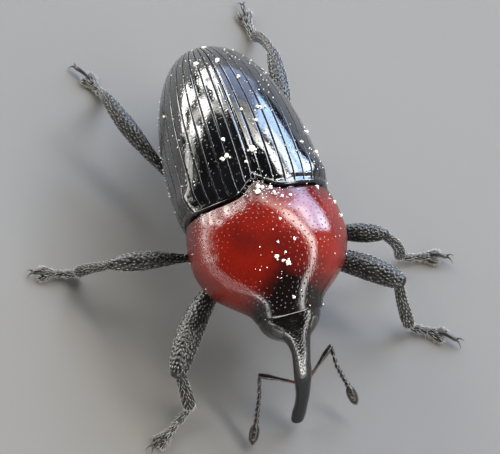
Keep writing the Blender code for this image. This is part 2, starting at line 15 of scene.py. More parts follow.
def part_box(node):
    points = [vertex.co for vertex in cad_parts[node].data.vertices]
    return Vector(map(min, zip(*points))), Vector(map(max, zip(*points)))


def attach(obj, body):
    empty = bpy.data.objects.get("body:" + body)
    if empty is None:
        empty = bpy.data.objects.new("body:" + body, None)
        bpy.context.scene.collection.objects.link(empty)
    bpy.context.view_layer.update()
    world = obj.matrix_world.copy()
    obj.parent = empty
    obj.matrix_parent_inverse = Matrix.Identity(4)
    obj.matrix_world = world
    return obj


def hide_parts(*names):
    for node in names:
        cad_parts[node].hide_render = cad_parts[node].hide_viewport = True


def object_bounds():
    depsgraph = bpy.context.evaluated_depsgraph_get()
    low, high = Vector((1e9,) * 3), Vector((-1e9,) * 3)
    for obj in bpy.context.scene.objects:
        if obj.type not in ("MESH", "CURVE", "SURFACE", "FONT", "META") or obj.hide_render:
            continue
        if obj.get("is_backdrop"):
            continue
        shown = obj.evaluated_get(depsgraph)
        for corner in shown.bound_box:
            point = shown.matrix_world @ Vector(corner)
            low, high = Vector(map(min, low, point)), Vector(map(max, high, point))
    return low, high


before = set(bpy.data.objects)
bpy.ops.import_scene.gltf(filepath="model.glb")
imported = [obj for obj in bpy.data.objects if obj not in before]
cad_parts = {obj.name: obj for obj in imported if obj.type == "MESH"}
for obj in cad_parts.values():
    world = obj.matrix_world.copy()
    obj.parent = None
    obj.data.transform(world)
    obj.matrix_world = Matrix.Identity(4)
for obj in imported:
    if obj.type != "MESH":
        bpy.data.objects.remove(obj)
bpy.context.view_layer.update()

MM = 0.001
SIDES = {"left": 1.0, "right": -1.0}
draw = np.random.default_rng(11)

# %% [markdown]
# The solids were modelled round the beetle's own middle line and then moved so that their
# footprint is centred. Two nodes show by how much: the shield is the same on both sides, and the
# belly starts at a known place. Every point below is written in millimetres from that middle line.

# %% Where the beetle's own zero lies
BELLY_START = 1.44
shield_low, shield_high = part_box("prothorax")
belly_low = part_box("abdomen")[0]
ZERO = np.array([(shield_low[0] + shield_high[0]) / 2 / MM, belly_low[1] / MM - BELLY_START, 0.0])
print("own zero at", ZERO.round(4), "mm")

# %% [markdown]
# A beetle's outline is a smooth curve through a few measured rows. This helper reads such a short
# table along a cubic curve, for one place or for thousands at once.

# %% Reading short tables as smooth curves


def smooth(table, at):
    """values at places, read from rows of (place, value) along a smooth curve"""
    places, values = np.array(table, float).T
    slopes = np.gradient(values, places)
    slopes[1:-1] = (values[2:] - values[:-2]) / (places[2:] - places[:-2])
    at = np.clip(np.asarray(at, float), places[0], places[-1])
    row = np.clip(np.searchsorted(places, at, side="right") - 1, 0, len(places) - 2)
    run = places[row + 1] - places[row]
    t = (at - places[row]) / run
    return ((2 * t ** 3 - 3 * t ** 2 + 1) * values[row] + (t ** 3 - 2 * t ** 2 + t) * run * slopes[row]
            + (3 * t ** 2 - 2 * t ** 3) * values[row + 1] + (t ** 3 - t ** 2) * run * slopes[row + 1])


def ease(low, high, at):
    """0 below low, 1 above high, and a soft step between them"""
    t = np.clip((np.asarray(at, float) - low) / (high - low), 0.0, 1.0)
    return t * t * (3.0 - 2.0 * t)


def hill(at, middle, width):
    """1 at the middle, falling softly to 0 on both sides"""
    return np.exp(-((at - middle) / width) ** 2)


def unit(v):
    """vectors made one long"""
    return v / np.maximum(np.linalg.norm(v, axis=-1, keepdims=True), 1e-12)


def in_space(x, y, z):
    """points from three coordinates, each a number or an array"""
    return np.stack(np.broadcast_arrays(x, y, z), -1)


def powered(angle, above, below):
    """cosine and sine of degrees, squared up or rounded off by a power above and below the middle"""
    c, s = np.cos(np.radians(angle)), np.sin(np.radians(angle))
    power = np.where(s >= 0, above, below)
    return np.sign(c) * np.abs(c) ** power, np.sign(s) * np.abs(s) ** power


print("halfway up a soft step", ease(0.0, 1.0, 0.5))

# %% [markdown]
# Nearly every part of an insect is a tube or a dome, so one way of making a skin serves them all:
# rings of points, joined row by row, with a fan of triangles closing each end. Sculpting by hand
# would be freer, but rings keep the skin exactly on the measured sizes.

# %% Skins from rings


def loft(rings):
    """points and faces of a closed skin over rings of points, its faces turned outwards"""
    rows, count = rings.shape[:2]
    k = np.arange(count)
    after = (k + 1) % count
    row = count * np.arange(rows - 1)[:, None]
    sides = np.stack([row + k, row + after, row + count + after, row + count + k], -1).reshape(-1, 4)
    total = rows * count
    near = np.stack([after, k, np.full(count, total)], -1)
    far = np.stack([k + total - count, after + total - count, np.full(count, total + 1)], -1)
    points = np.concatenate([rings.reshape(-1, 3), [rings[0].mean(0)], [rings[-1].mean(0)]])
    corners = np.concatenate([sides[:, [0, 1, 2]], sides[:, [0, 2, 3]], near, far])
    a, b, c = (points[corners[:, i]] - points.mean(0) for i in range(3))
    flip = -1 if np.einsum("ij,ij->i", a, np.cross(b, c)).sum() < 0 else 1
    return points, [face[::flip] for block in (sides, near, far) for face in block.tolist()]


def join(shapes):
    """several closed skins as one set of points and faces"""
    points, faces, start = [], [], 0
    for some_points, some_faces in shapes:
        points.append(some_points)
        faces += [[index + start for index in face] for face in some_faces]
        start += len(some_points)
    return np.concatenate(points), faces


# %% Skins: tubes along a path
DOME_ANGLES = np.radians([20, 40, 58, 73, 84])


def path_axes(path):
    """direction ahead, across and up at each point of a path, turned as little as possible"""
    ahead = unit(np.gradient(path, axis=0))
    across = np.empty_like(path)
    helper = np.array([0, 0, 1.0]) if abs(ahead[0, 2]) < 0.9 else np.array([1.0, 0, 0])
    last = np.cross(ahead[0], helper)
    for k, way in enumerate(ahead):
        last = unit(last - way * last.dot(way))
        across[k] = last
    return ahead, across, np.cross(across, ahead)


def dome(ring, centre, way, height):
    """ever smaller rings that close the end of a tube"""
    return [centre + way * height * math.sin(a) + math.cos(a) * (ring - centre) for a in DOME_ANGLES]


def tube(path, radii, sides, flatten=1.0, domes=(0.6, 0.6)):
    """a closed tube round a path, with a rounded dome past each end"""
    path, radii = np.asarray(path, float), np.asarray(radii, float)
    ahead, across, up = path_axes(path)
    turn = np.linspace(0, 2 * math.pi, sides, endpoint=False)[:, None]
    rings = [path[k] + radii[k] * (across[k] * np.cos(turn) + up[k] * np.sin(turn) * flatten)
             for k in range(len(path))]
    near = dome(rings[0], path[0], -ahead[0], radii[0] * domes[0])
    far = dome(rings[-1], path[-1], ahead[-1], radii[-1] * domes[1])
    return loft(np.array(near[::-1] + rings + far))


# %% Skins: balls


def ball(centre, radii, sides, rows, axes=np.eye(3)):
    """a closed rounded body with its poles on its third axis"""
    rise = np.radians(np.linspace(-90, 90, rows + 2)[1:-1])[:, None]
    turn = np.linspace(0, 2 * math.pi, sides, endpoint=False)[None, :]
    local = in_space(np.cos(rise) * np.cos(turn), np.cos(rise) * np.sin(turn), np.sin(rise))
    points, faces = loft(np.asarray(centre) + (local * np.asarray(radii)) @ np.asarray(axes))
    for index, sign in ((-2, -1.0), (-1, 1.0)):
        points[index] = np.asarray(centre) + sign * radii[2] * np.asarray(axes)[2]
    return points, faces


print("a ball of 8 by 4 has", len(ball((0, 0, 0), (1, 1, 1), 8, 4)[1]), "faces")

# %% [markdown]
# Each skin becomes a Blender object that rides on the one body, takes the finish it is given and
# hides the solids it stands for. Its faces are shaded smooth.

# %% Turning skins into pieces
pieces = {}


def add_piece(name, shape, material, slot, *nodes):
    """a named piece in metres, in the frame of the solids"""
    points, faces = shape
    mesh = bpy.data.meshes.new(name)
    mesh.from_pydata(((points + ZERO) * MM).tolist(), [], faces)
    mesh.shade_smooth()
    thing = bpy.data.objects.new(name, mesh)
    bpy.context.scene.collection.objects.link(thing)
    thing.data.materials.append(material)
    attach(thing, "root")
    if nodes:
        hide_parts(*nodes)
    pieces[name] = thing
    return thing


# %% Reading and moving a piece's points


def numbers(items, key, kind=int):
    """one number from each item of a mesh, such as the point at each corner"""
    values = np.empty(len(items), kind)
    items.foreach_get(key, values)
    return values


def surface(thing):
    """a piece's points, in millimetres from the beetle's own zero, and its normals"""
    mesh = thing.data
    points, normals = np.empty(len(mesh.vertices) * 3), np.empty(len(mesh.vertices) * 3)
    mesh.vertices.foreach_get("co", points)
    mesh.vertex_normals.foreach_get("vector", normals)
    return points.reshape(-1, 3) / MM - ZERO, normals.reshape(-1, 3)


def raise_by(thing, heights):
    """move each point of a piece outwards by its own height in millimetres"""
    points, normals = surface(thing)
    points = (points + normals * np.asarray(heights)[:, None] + ZERO) * MM
    thing.data.vertices.foreach_set("co", points.ravel())
    thing.data.update()


# %% [markdown]
# Pits are the mark of this beetle. They could be a bump in the material, but real dents catch the
# light from any side and stay in the exported mesh. Their centres are scattered so that no two
# come closer than a given spacing, and each point of a skin sinks by how near a centre it is.

# %% Scattering centres and sinking pits
NEIGHBOURS = [(i, j, k) for i in (-1, 0, 1) for j in (-1, 0, 1) for k in (-1, 0, 1)]


def scatter(points, spacing, tries=24000):
    """numbers of points picked at random that keep their spacing from one another"""
    spacing = np.broadcast_to(spacing, len(points))
    picked = draw.permutation(len(points))[:tries]
    keys = np.floor(points / float(spacing.max())).astype(int).tolist()
    places = points.tolist()
    kept, buckets = [], {}
    for index in picked.tolist():
        x, y, z = places[index]
        a, b, c = keys[index]
        limit = spacing[index] ** 2
        close = (near for i, j, k in NEIGHBOURS for near in buckets.get((a + i, b + j, c + k), ()))
        if all((u - x) ** 2 + (v - y) ** 2 + (w - z) ** 2 >= limit for u, v, w in close):
            buckets.setdefault((a, b, c), []).append((x, y, z))
            kept.append(index)
    return np.array(kept, int)


def search_tree(points):
    """a tree that finds the nearest of some points"""
    tree = KDTree(len(points))
    for k, point in enumerate(points):
        tree.insert(point, k)
    tree.balance()
    return tree


def nearness(points, centres):
    """distance from each point to the nearest centre"""
    tree = search_tree(centres)
    return np.array([tree.find(point)[2] for point in points])


def pits(distance, radius, depth):
    """how far a surface sinks round its pit centres"""
    inside = np.clip(1.0 - (distance / radius) ** 2, 0.0, 1.0)
    return -depth * inside ** 1.5


def pitted(thing, spacing, radius, depth, shows):
    """sink pits into the part of a piece that can be seen, and count them"""
    points, normals = surface(thing)
    spots = np.nonzero(shows(points))[0]
    chosen = spots[scatter(points[spots], spacing)]
    raise_by(thing, pits(nearness(points, points[chosen]), radius, depth))
    return len(chosen)


# %% [markdown]
# The shell of this beetle is chitin under a thin hard glaze. A plain glossy shader looks like
# plastic, so each finish gets a slightly uneven gloss and a fine grain, both from noise in the
# object's own coordinates, which are metres: a pattern size of 0.05 mm needs a scale of 20000.

# %% Finishes: helpers for nodes
PER_MM = 1.0 / MM


def feed(tree, value, socket):
    """put a number, a colour or the output of another node into a socket"""
    if isinstance(value, bpy.types.NodeSocket):
        tree.links.new(value, socket)
    else:
        socket.default_value = (*value, 1.0) if isinstance(value, tuple) else value


def node(tree, kind, inputs, **settings):
    """a new node with its settings, and with pairs of an input's name or number and its value"""
    made = tree.nodes.new(kind)
    for key, value in settings.items():
        setattr(made, key, value)
    for key, value in inputs:
        feed(tree, value, made.inputs[key])
    return made


def compute(tree, operation, *values):
    """a sum, product or the like of numbers and sockets"""
    return node(tree, "ShaderNodeMath", enumerate(values), operation=operation).outputs[0]


def spread(tree, value, low, high, new_low=0.0, new_high=1.0, soft="LINEAR"):
    """a value moved from one range to another"""
    pairs = (("Value", value), ("From Min", low), ("From Max", high),
             ("To Min", new_low), ("To Max", new_high))
    return node(tree, "ShaderNodeMapRange", pairs, interpolation_type=soft).outputs["Result"]


def blend(tree, factor, first, second):
    """a mix of two colours, each a colour or a socket"""
    return node(tree, "ShaderNodeMix", ((0, factor), (6, first), (7, second)), data_type="RGBA").outputs[2]


# %% Finishes: helpers for shells


def new_finish(name, colour, roughness, coat=0.0):
    """a material, its node tree, its shader and the place on the object in metres"""
    material = bpy.data.materials.new(name)
    material.use_nodes = True
    tree = material.node_tree
    shader = tree.nodes["Principled BSDF"]
    for key, value in (("Base Color", colour), ("Roughness", roughness), ("IOR", 1.5),
                       ("Coat Weight", coat), ("Coat Roughness", 0.05)):
        feed(tree, value, shader.inputs[key])
    return material, tree, shader, tree.nodes.new("ShaderNodeTexCoord").outputs["Object"]


def noise(tree, place, size):
    """soft noise whose patches are about size millimetres across"""
    pairs = (("Scale", PER_MM / size), ("Detail", 3.0), ("Vector", place))
    return node(tree, "ShaderNodeTexNoise", pairs).outputs["Fac"]


def grain(tree, shader, place, sizes, depth, swell=1.0):
    """fine pricks in a Voronoi pattern over a slow unevenness, as bump"""
    cells = node(tree, "ShaderNodeTexVoronoi", (("Scale", PER_MM / sizes[0]), ("Vector", place)))
    pricks = spread(tree, cells.outputs["Distance"], 0.05, 0.22)
    uneven = spread(tree, noise(tree, place, sizes[1]), 0.0, 1.0, 0.0, swell)
    height = compute(tree, "ADD", pricks, uneven)
    bump = node(tree, "ShaderNodeBump", (("Strength", 1.0), ("Distance", depth * MM), ("Height", height)))
    feed(tree, bump.outputs["Normal"], shader.inputs["Normal"])


# %% [markdown]
# The shield is a deep blood red that turns to black in front and along its hind edge, and to a
# brown red down the sides. The colour follows the place on the beetle, so it is made from the
# object's coordinates. A picture wrapped round the shield could do it too, but would blur close up.

# %% Finishes: the red shield
DEEP_RED = (0.165, 0.008, 0.004)
WARM_RED = (0.072, 0.010, 0.006)
DARK_RED = (0.066, 0.005, 0.004)
NEAR_BLACK = (0.005, 0.003, 0.003)

red_shell, tree, shader, place = new_finish("red_shell", DEEP_RED, 0.10, coat=0.1)
x, y, z = node(tree, "ShaderNodeSeparateXYZ", ((0, place),)).outputs
flank = spread(tree, z, 1.75 * MM, 1.25 * MM)
patchy = spread(tree, noise(tree, place, 0.6), 0.40, 0.62, 0.0, 0.75)
body_red = blend(tree, patchy, blend(tree, flank, DEEP_RED, WARM_RED), DARK_RED)

# the black of the front narrows to a tongue on the middle line, with an uneven edge
wobble = spread(tree, noise(tree, place, 0.16), 0.3, 0.7, -0.04 * MM, 0.04 * MM)
off_middle = compute(tree, "ABSOLUTE", compute(tree, "SUBTRACT", x, ZERO[0] * MM))
tongue = compute(tree, "ADD", y, compute(tree, "ADD", compute(tree, "MULTIPLY", off_middle, 0.62), wobble))
front = spread(tree, tongue, (ZERO[1] - 0.90) * MM, (ZERO[1] - 0.90) * MM - 0.26 * MM)
collar = spread(tree, y, (ZERO[1] - 1.14) * MM, (ZERO[1] - 1.34) * MM)
hind = spread(tree, y, (ZERO[1] - 0.34) * MM, (ZERO[1] + 0.02) * MM, 0.0, 0.72)
dark = compute(tree, "MAXIMUM", compute(tree, "MAXIMUM", front, collar), hind)
feed(tree, blend(tree, dark, body_red, NEAR_BLACK), shader.inputs["Base Color"])
feed(tree, spread(tree, noise(tree, place, 0.09), 0.3, 0.7, 0.07, 0.16), shader.inputs["Roughness"])
grain(tree, shader, place, (0.030, 0.014), 0.0007)
print("red shell of", len(tree.nodes), "nodes")

# %% [markdown]
# Wing cases, head and snout are glossy black. The underside and the legs are the same black with
# a duller surface. The feelers are brown black, and red where they leave the snout.

# %% Finishes: black shells, legs, feelers and eyes


def black_finish(name, colour, roughness, coat, sizes, depth, swell=1.0):
    """a dark shell with an uneven gloss, patches of a darker black and a fine grain"""
    material, tree, shader, place = new_finish(name, colour, roughness, coat)
    gloss = spread(tree, noise(tree, place, 0.11), 0.3, 0.7, 0.7 * roughness, 1.4 * roughness)
    feed(tree, gloss, shader.inputs["Roughness"])
    patchy = spread(tree, noise(tree, place, 0.4), 0.35, 0.65)
    feed(tree, blend(tree, patchy, colour, tuple(0.45 * c for c in colour)), shader.inputs["Base Color"])
    grain(tree, shader, place, sizes, depth, swell)
    return material


black_shell = black_finish("black_shell", (0.005, 0.005, 0.006), 0.09, 0.75, (0.048, 0.03), 0.0036, 0.25)
# painted shade: the grooves get a darker black with little gloss, so they show as dark lines
groove_painted_shade = black_finish("groove_painted_shade", (0.004, 0.004, 0.004), 0.5, 0.0, (0.030, 0.02), 0.001)
groove_painted_shade.node_tree.nodes["Principled BSDF"].inputs["Specular IOR Level"].default_value = 0.12
head_shell = black_finish("head_shell", (0.006, 0.005, 0.005), 0.15, 0.55, (0.024, 0.014), 0.0012)
dull_shell = black_finish("dull_shell", (0.014, 0.013, 0.012), 0.34, 0.0, (0.035, 0.012), 0.003)
leg_shell = black_finish("leg_shell", (0.012, 0.012, 0.012), 0.30, 0.0, (0.016, 0.008), 0.001)
claw_shell = black_finish("claw_shell", (0.020, 0.012, 0.008), 0.22, 0.0, (0.012, 0.01), 0.0008)
eye_shell = black_finish("eye_shell", (0.034, 0.033, 0.031), 0.34, 0.0, (0.017, 0.05), 0.0025)

feeler_shell, tree, shader, place = new_finish("feeler_shell", (0.03, 0.014, 0.010), 0.22, coat=0.4)
from_root = node(tree, "ShaderNodeAttribute", (), attribute_name="from_root").outputs["Fac"]
root_to_black = blend(tree, spread(tree, from_root, 0.0, 0.34), (0.13, 0.011, 0.007), (0.008, 0.005, 0.004))
feed(tree, root_to_black, shader.inputs["Base Color"])
grain(tree, shader, place, (0.014, 0.008), 0.0012)

# %% Finishes: bristles, felt and dust


def pale_finish(name, colour, other, roughness, size):
    """a dull finish that wanders between two colours"""
    material, tree, shader, place = new_finish(name, colour, roughness)
    patchy = spread(tree, noise(tree, place, size), 0.35, 0.65)
    feed(tree, blend(tree, patchy, colour, other), shader.inputs["Base Color"])
    return material


bristle_pale = pale_finish("bristle_pale", (0.50, 0.48, 0.45), (0.33, 0.31, 0.27), 0.42, 0.05)
felt_brown = pale_finish("felt_brown", (0.060, 0.048, 0.038), (0.035, 0.028, 0.022), 0.42, 0.03)
dust_pale = pale_finish("dust_pale", (0.95, 0.94, 0.90), (0.88, 0.84, 0.70), 0.6, 0.03)
print("finishes", len(bpy.data.materials))

# %% [markdown]
# ## The wing cases
# Each one is a curved wall with ten grooves. The grooves hold a row of pits each and run back to
# the tip, where they meet, because they keep the same share of a section that narrows. Near the
# shield the edge is a raised bead, and the seam between the cases has a low ridge on each side.

# %% Wing cases: sizes, the same as the solids'
CASE_LENGTH = 2.90
CASE_HALF_WIDTH = 0.965
SHOULDER_AT, SHOULDER_DROP = 0.30, 0.055
CASE_WALL = 0.07
CASE_TOP = ((0.0, 2.07), (0.6, 2.18), (1.2, 2.14), (1.8, 1.96), (2.3, 1.66), (2.67, 1.30), (2.90, 0.97))
CASE_MARGIN = ((0.0, 1.16), (0.6, 1.06), (1.3, 0.97), (2.1, 0.90), (2.90, 0.86))
MARGIN_ANGLE = -15.0
CASE_ROUND = 2 / 2.2
SUTURE_GAP = 0.003
GROOVES = 10
LOBE_REACH, LOBE_WIDTH, SINUS, HIND_CORNER = 0.17, 0.17, -0.075, 0.12
SEAM_GAP = 0.034


def base_line(x):
    """how far back the wavy line behind the shield lies, at a distance from the middle"""
    lobe = (LOBE_REACH - SINUS) * hill(x, 0.0, LOBE_WIDTH) * 0.75
    return SINUS + lobe + HIND_CORNER * (np.abs(x) / CASE_HALF_WIDTH) ** 4


def wavy_front(rings, reach, gap):
    """move the front of a skin back to the wavy line, less and less over a reach"""
    share = np.maximum(0.0, 1.0 - rings[..., 1] / reach)
    rings[..., 1] += (base_line(rings[..., 0]) + gap) * share
    return rings


def case_half_width(y):
    narrow = SHOULDER_DROP * (np.maximum(SHOULDER_AT - y, 0.0) / SHOULDER_AT) ** 2
    along = np.clip((y - SHOULDER_AT) / (CASE_LENGTH + 0.01 - SHOULDER_AT), 0.0, 1.0)
    return (CASE_HALF_WIDTH - narrow) * (1.0 - along ** 2.4) ** (1 / 1.75)


def case_point(y, angle, inset=0.0):
    """across and up on the wing case, arrays of places along and angles round it"""
    margin = smooth(CASE_MARGIN, y)
    level = margin + 0.27 * (1.0 - 0.8 * y / CASE_LENGTH)
    height = smooth(CASE_TOP, y) - level
    width = case_half_width(y)
    depth = np.minimum(inset, np.minimum(0.45 * width, 0.45 * height))
    c, s = np.cos(np.radians(angle)), np.sin(np.radians(angle))
    drop = (level - margin) / math.sin(math.radians(-MARGIN_ANGLE))
    across = (width - depth) * np.abs(c) ** np.where(angle >= 0, CASE_ROUND, 1.0)
    up = np.where(angle >= 0, (height - depth) * np.abs(s) ** CASE_ROUND, drop * s)
    return across, level + up


def groove_turn(k):
    """degrees from the seam to a groove"""
    return 5.3 + 7.3 * (k - 1) + 0.33 * (k - 1) * (k - 2)


print("grooves at", [round(groove_turn(k)) for k in range(1, GROOVES + 1)], "degrees from the seam")

# %% Wing cases: rows along and columns round
GROOVE_HALF = 0.46
EDGE_TURN = 90 - MARGIN_ANGLE
CASE_ROWS = np.concatenate([[0.0, 0.004, 0.010, 0.018, 0.028, 0.040, 0.052, 0.064],
                            np.linspace(0.078, CASE_LENGTH - 0.05, 330)])


def case_columns():
    """degrees down from the seam, close together in each groove"""
    turns = [0.0, 0.5, 1.0, 1.7, 2.6, 3.5]
    for k in range(1, GROOVES + 1):
        middle = groove_turn(k)
        turns += [middle + GROOVE_HALF * part for part in (-1.25, -0.75, -0.35, 0.0, 0.35, 0.75, 1.25)]
        gap = (groove_turn(k + 1) if k < GROOVES else EDGE_TURN + 1) - middle
        turns += [middle + 1.25 * GROOVE_HALF + (gap - 2.5 * GROOVE_HALF) * (part / 12)
                  for part in range(1, 12)]
    return np.unique(np.round(np.minimum(turns, EDGE_TURN), 4))


print("a wing case has", len(CASE_ROWS), "rows of", len(case_columns()), "points outside")

# %% Wing cases: grooves, seam, front bead and shoulder
GROOVE_DEPTH = 0.0070
GROOVE_PIT_RADIUS, GROOVE_PIT_DEPTH, PIT_STEP = 0.0090, 0.007, 0.046
MM_PER_DEGREE = 0.0168


def groove_relief(y, turn):
    """how far grooves and their pits sink the skin, and which points lie in a groove"""
    fade = np.minimum(1.0, (CASE_LENGTH - y) / 0.35) * ease(0.030, 0.085, y)
    rise, inside = 0.0 * y * turn, 0.0 * y * turn
    for k in range(1, GROOVES + 1):
        off = turn - groove_turn(k)
        near = np.abs(off) / GROOVE_HALF
        inside = np.maximum(inside, (near < 0.9) * (fade > 0.3))
        rise -= GROOVE_DEPTH * np.clip(1.0 - near ** 2, 0.0, 1.0) * fade
        along = (y + 0.37 * k * PIT_STEP + PIT_STEP / 2) % PIT_STEP - PIT_STEP / 2
        away = np.sqrt((off * MM_PER_DEGREE) ** 2 + (along * 0.8) ** 2)
        rise += pits(away, GROOVE_PIT_RADIUS, GROOVE_PIT_DEPTH) * fade
    return rise, inside


def edge_relief(y, turn):
    """the ridge and the line of the seam, the bead in front with the dip behind it, the shoulder"""
    seam = 0.005 * hill(turn, 1.5, 0.8) - 0.006 * hill(turn, 0.0, 0.4)
    bead = 0.004 * hill(y, 0.040, 0.016) - 0.030 * (1.0 - ease(0.0, 0.03, y)) ** 2
    return seam + bead - 0.005 * hill(y, 0.085, 0.030) + 0.035 * hill(turn, 62, 16) * hill(y, 0.26, 0.16)


# %% Wing cases: the skin


def wing_case(side):
    """points and faces of a wing case, and a mark on each point that lies in a groove"""
    y, turn = CASE_ROWS[:, None], case_columns()[None, :]
    x, z = case_point(y, 90.0 - turn)
    rise, inside = groove_relief(y, turn)
    rise += edge_relief(y, turn)
    outer = in_space(x, y, z)
    out = unit(np.cross(np.gradient(outer, axis=1), np.gradient(outer, axis=0)))
    out *= np.where(out[..., 2:3] + out[..., 0:1] * 0.5 < 0, -1.0, 1.0)
    outer = outer + out * rise[..., None]
    x, z = case_point(y, 90.0 - np.linspace(0.0, EDGE_TURN, 14)[None, ::-1], CASE_WALL)
    rings = wavy_front(np.concatenate([outer, in_space(x, y, z)], 1), 0.5, SEAM_GAP)
    rings[..., 0] = np.maximum(rings[..., 0], SUTURE_GAP) * SIDES[side]
    inside = np.concatenate([inside, np.zeros(x.shape)], 1)
    return loft(rings), np.append(inside.ravel(), [0.0, 0.0])


def second_finish(thing, material, marks):
    """give a second finish to the faces that have a marked point"""
    thing.data.materials.append(material)
    starts = numbers(thing.data.polygons, "loop_start")
    corners = numbers(thing.data.loops, "vertex_index")
    marked = marks[corners[starts]] + marks[corners[starts + 1]] + marks[corners[starts + 2]]
    thing.data.polygons.foreach_set("material_index", (marked >= 1).astype(np.int32))


for side in SIDES:
    shape, in_groove = wing_case(side)
    case = add_piece("wing_case_" + side, shape, black_shell, "black_cuticle", "elytron_" + side)
    # faces in the grooves take the painted shade
    second_finish(case, groove_painted_shade, in_groove)
    points, normals = surface(case)
    shows = (normals[:, 2] + 0.6 * np.abs(normals[:, 0]) > 0.1) & (points[:, 1] > 0.05)
    spots = np.nonzero(shows)[0]
    coarse = np.maximum(ease(0.80, 0.35, normals[:, 2]), ease(1.6, 2.6, points[:, 1]))
    chosen = spots[scatter(points[spots], 0.058 - 0.014 * coarse[spots])]
    away = nearness(points, points[chosen])
    raise_by(case, pits(away, 0.0090 + 0.0045 * coarse, 0.0030 + 0.0070 * coarse) * shows)
    print(case.name, len(case.data.polygons), "faces,", len(chosen), "fine pits")


# %% [markdown]
# ## The shield
# The prothorax is one shell all round. Its front end is a collar whose lip slopes forward, and
# behind it the shell swells quickly. Its hind edge is rounded and follows the same wavy line as
# the wing cases. Round pits cover its back, closer together and coarser down the sides. The lip
# is drawn row by row, because its slope decides where the one bright line along it falls.

# %% Shield: sizes, the solids' own but for a slightly fuller hind edge
SHIELD_FRONT = -1.50
SHIELD_SLANT = 0.42
SHIELD_HALF_WIDTH = ((-1.50, 0.42), (-1.40, 0.47), (-1.22, 0.67), (-1.0, 0.85), (-0.62, 0.975),
                     (-0.25, 0.97), (0.0, 0.92))
SHIELD_TOP = ((-1.50, 1.565), (-1.40, 1.67), (-1.15, 1.885), (-0.8, 2.06), (-0.4, 2.13), (0.0, 2.075))
SHIELD_BOTTOM = ((-1.50, 0.84), (-1.0, 0.64), (-0.5, 0.58), (0.0, 0.62))
SHIELD_LEVEL = ((-1.50, 1.20), (-1.0, 1.28), (-0.5, 1.36), (0.0, 1.42))
HEM = 0.03


def shield_rings(y, angle, inset):
    """points of the shield at places along it and angles round it, sunk by an inset"""
    top, bottom, level = smooth(SHIELD_TOP, y), smooth(SHIELD_BOTTOM, y), smooth(SHIELD_LEVEL, y)
    c, s = powered(angle, 2 / (2.15 + 0.33 * ease(-0.45, -0.95, y)), 2 / 1.75)
    x = (smooth(SHIELD_HALF_WIDTH, y) - inset) * c
    z = level + (np.where(s >= 0, top - level, level - bottom) - inset) * s
    back = base_line(x) * np.maximum(0.0, 1.0 + y / 0.6)
    slant = SHIELD_SLANT * (y / SHIELD_FRONT) ** 2 * (top - z)
    return in_space(x, y + back + slant, z)


# %% Shield: the skin
ROWS = 270
hem_angles = np.radians([10, 30, 50, 70, 90])
front_y = SHIELD_FRONT + np.array([0.30, 0.06, 0.004, -0.014, -0.0205, -0.0222, -0.0148, -0.0074])
front_inset = np.array([0.16, 0.055, 0.042, 0.034, 0.026, 0.020, 0.0133, 0.0066])
middle_y = np.linspace(SHIELD_FRONT + 0.006, -HEM - 0.004, ROWS)
stations = np.concatenate([front_y, middle_y, -HEM + HEM * np.sin(hem_angles), [-0.01, -0.06]])
insets = np.concatenate([front_inset, np.zeros(ROWS), HEM * (1 - np.cos(hem_angles)), [HEM + 0.03, 0.16]])
angles = np.concatenate([np.linspace(-12, 192, 540, endpoint=False),
                         np.linspace(192, 348, 110, endpoint=False)])
shield = add_piece("shield", loft(shield_rings(stations[:, None], angles[None, :], insets[:, None])),
                   red_shell, "red_cuticle", "prothorax")
points, normals = surface(shield)
station = np.append(np.repeat(stations, len(angles)), [SHIELD_FRONT, 0.0])
turn = np.append(np.tile(angles, len(stations)), [90.0, 90.0])
print("shield", len(shield.data.polygons), "faces")

# %% Shield: pits and fine ridges
low = ease(1.60, 1.10, points[:, 2])
forward = ease(-0.95, -1.25, station)
shows = (station > SHIELD_FRONT + 0.05) & (station < -0.035) & (normals[:, 1] < 0.75)
spots = np.nonzero(shows)[0]
chosen = spots[scatter(points[spots], 0.060 - 0.012 * low[spots] - 0.006 * forward[spots], 60000)]
heights = pits(nearness(points, points[chosen]), 0.0100 + 0.004 * low, 0.0050 + 0.0050 * low)
side_share = ease(1.95, 1.60, points[:, 2]) * ease(0.7, 1.0, points[:, 2]) * ease(-1.30, -1.10, station)
waves = np.sin(turn * 3.1 + 1.6 * np.sin(station * 9.0) + 1.2 * np.sin(station * 23.0 + turn * 0.3))
heights += 0.0012 * waves * side_share
hem_share = ease(-0.30, -0.16, station) * ease(1.2, 1.5, points[:, 2])
ripples = np.sin(station * 290.0 + 2.0 * np.sin(turn * 0.11) + 1.5 * np.sin(turn * 0.43 + station * 30.0))
heights += 0.0007 * ripples * hem_share * (0.5 + 0.5 * np.sin(turn * 0.7 + 2.0 * np.sin(turn * 0.05)))
raise_by(shield, heights)
print("shield pits", len(chosen))

# %% [markdown]
# ## Under the wing cases
# Thorax and belly are closed shapes whose upper side is hidden. Below they show plates: the
# belly has five with grooves between them, and all are pitted. Their upper side follows the inside
# of the wing cases, so one function gives rings for both.

# %% Body: sizes and rings
THORAX_END = 1.42
BELLY_END = 2.84
BELLY_BOTTOM = ((0.0, 0.60), (0.7, 0.57), (1.42, 0.60), (2.2, 0.66), (2.84, 0.82))
BELLY_SEAMS = (1.92, 2.24, 2.44, 2.62)
BELLY_ROUND = 2 / 1.65


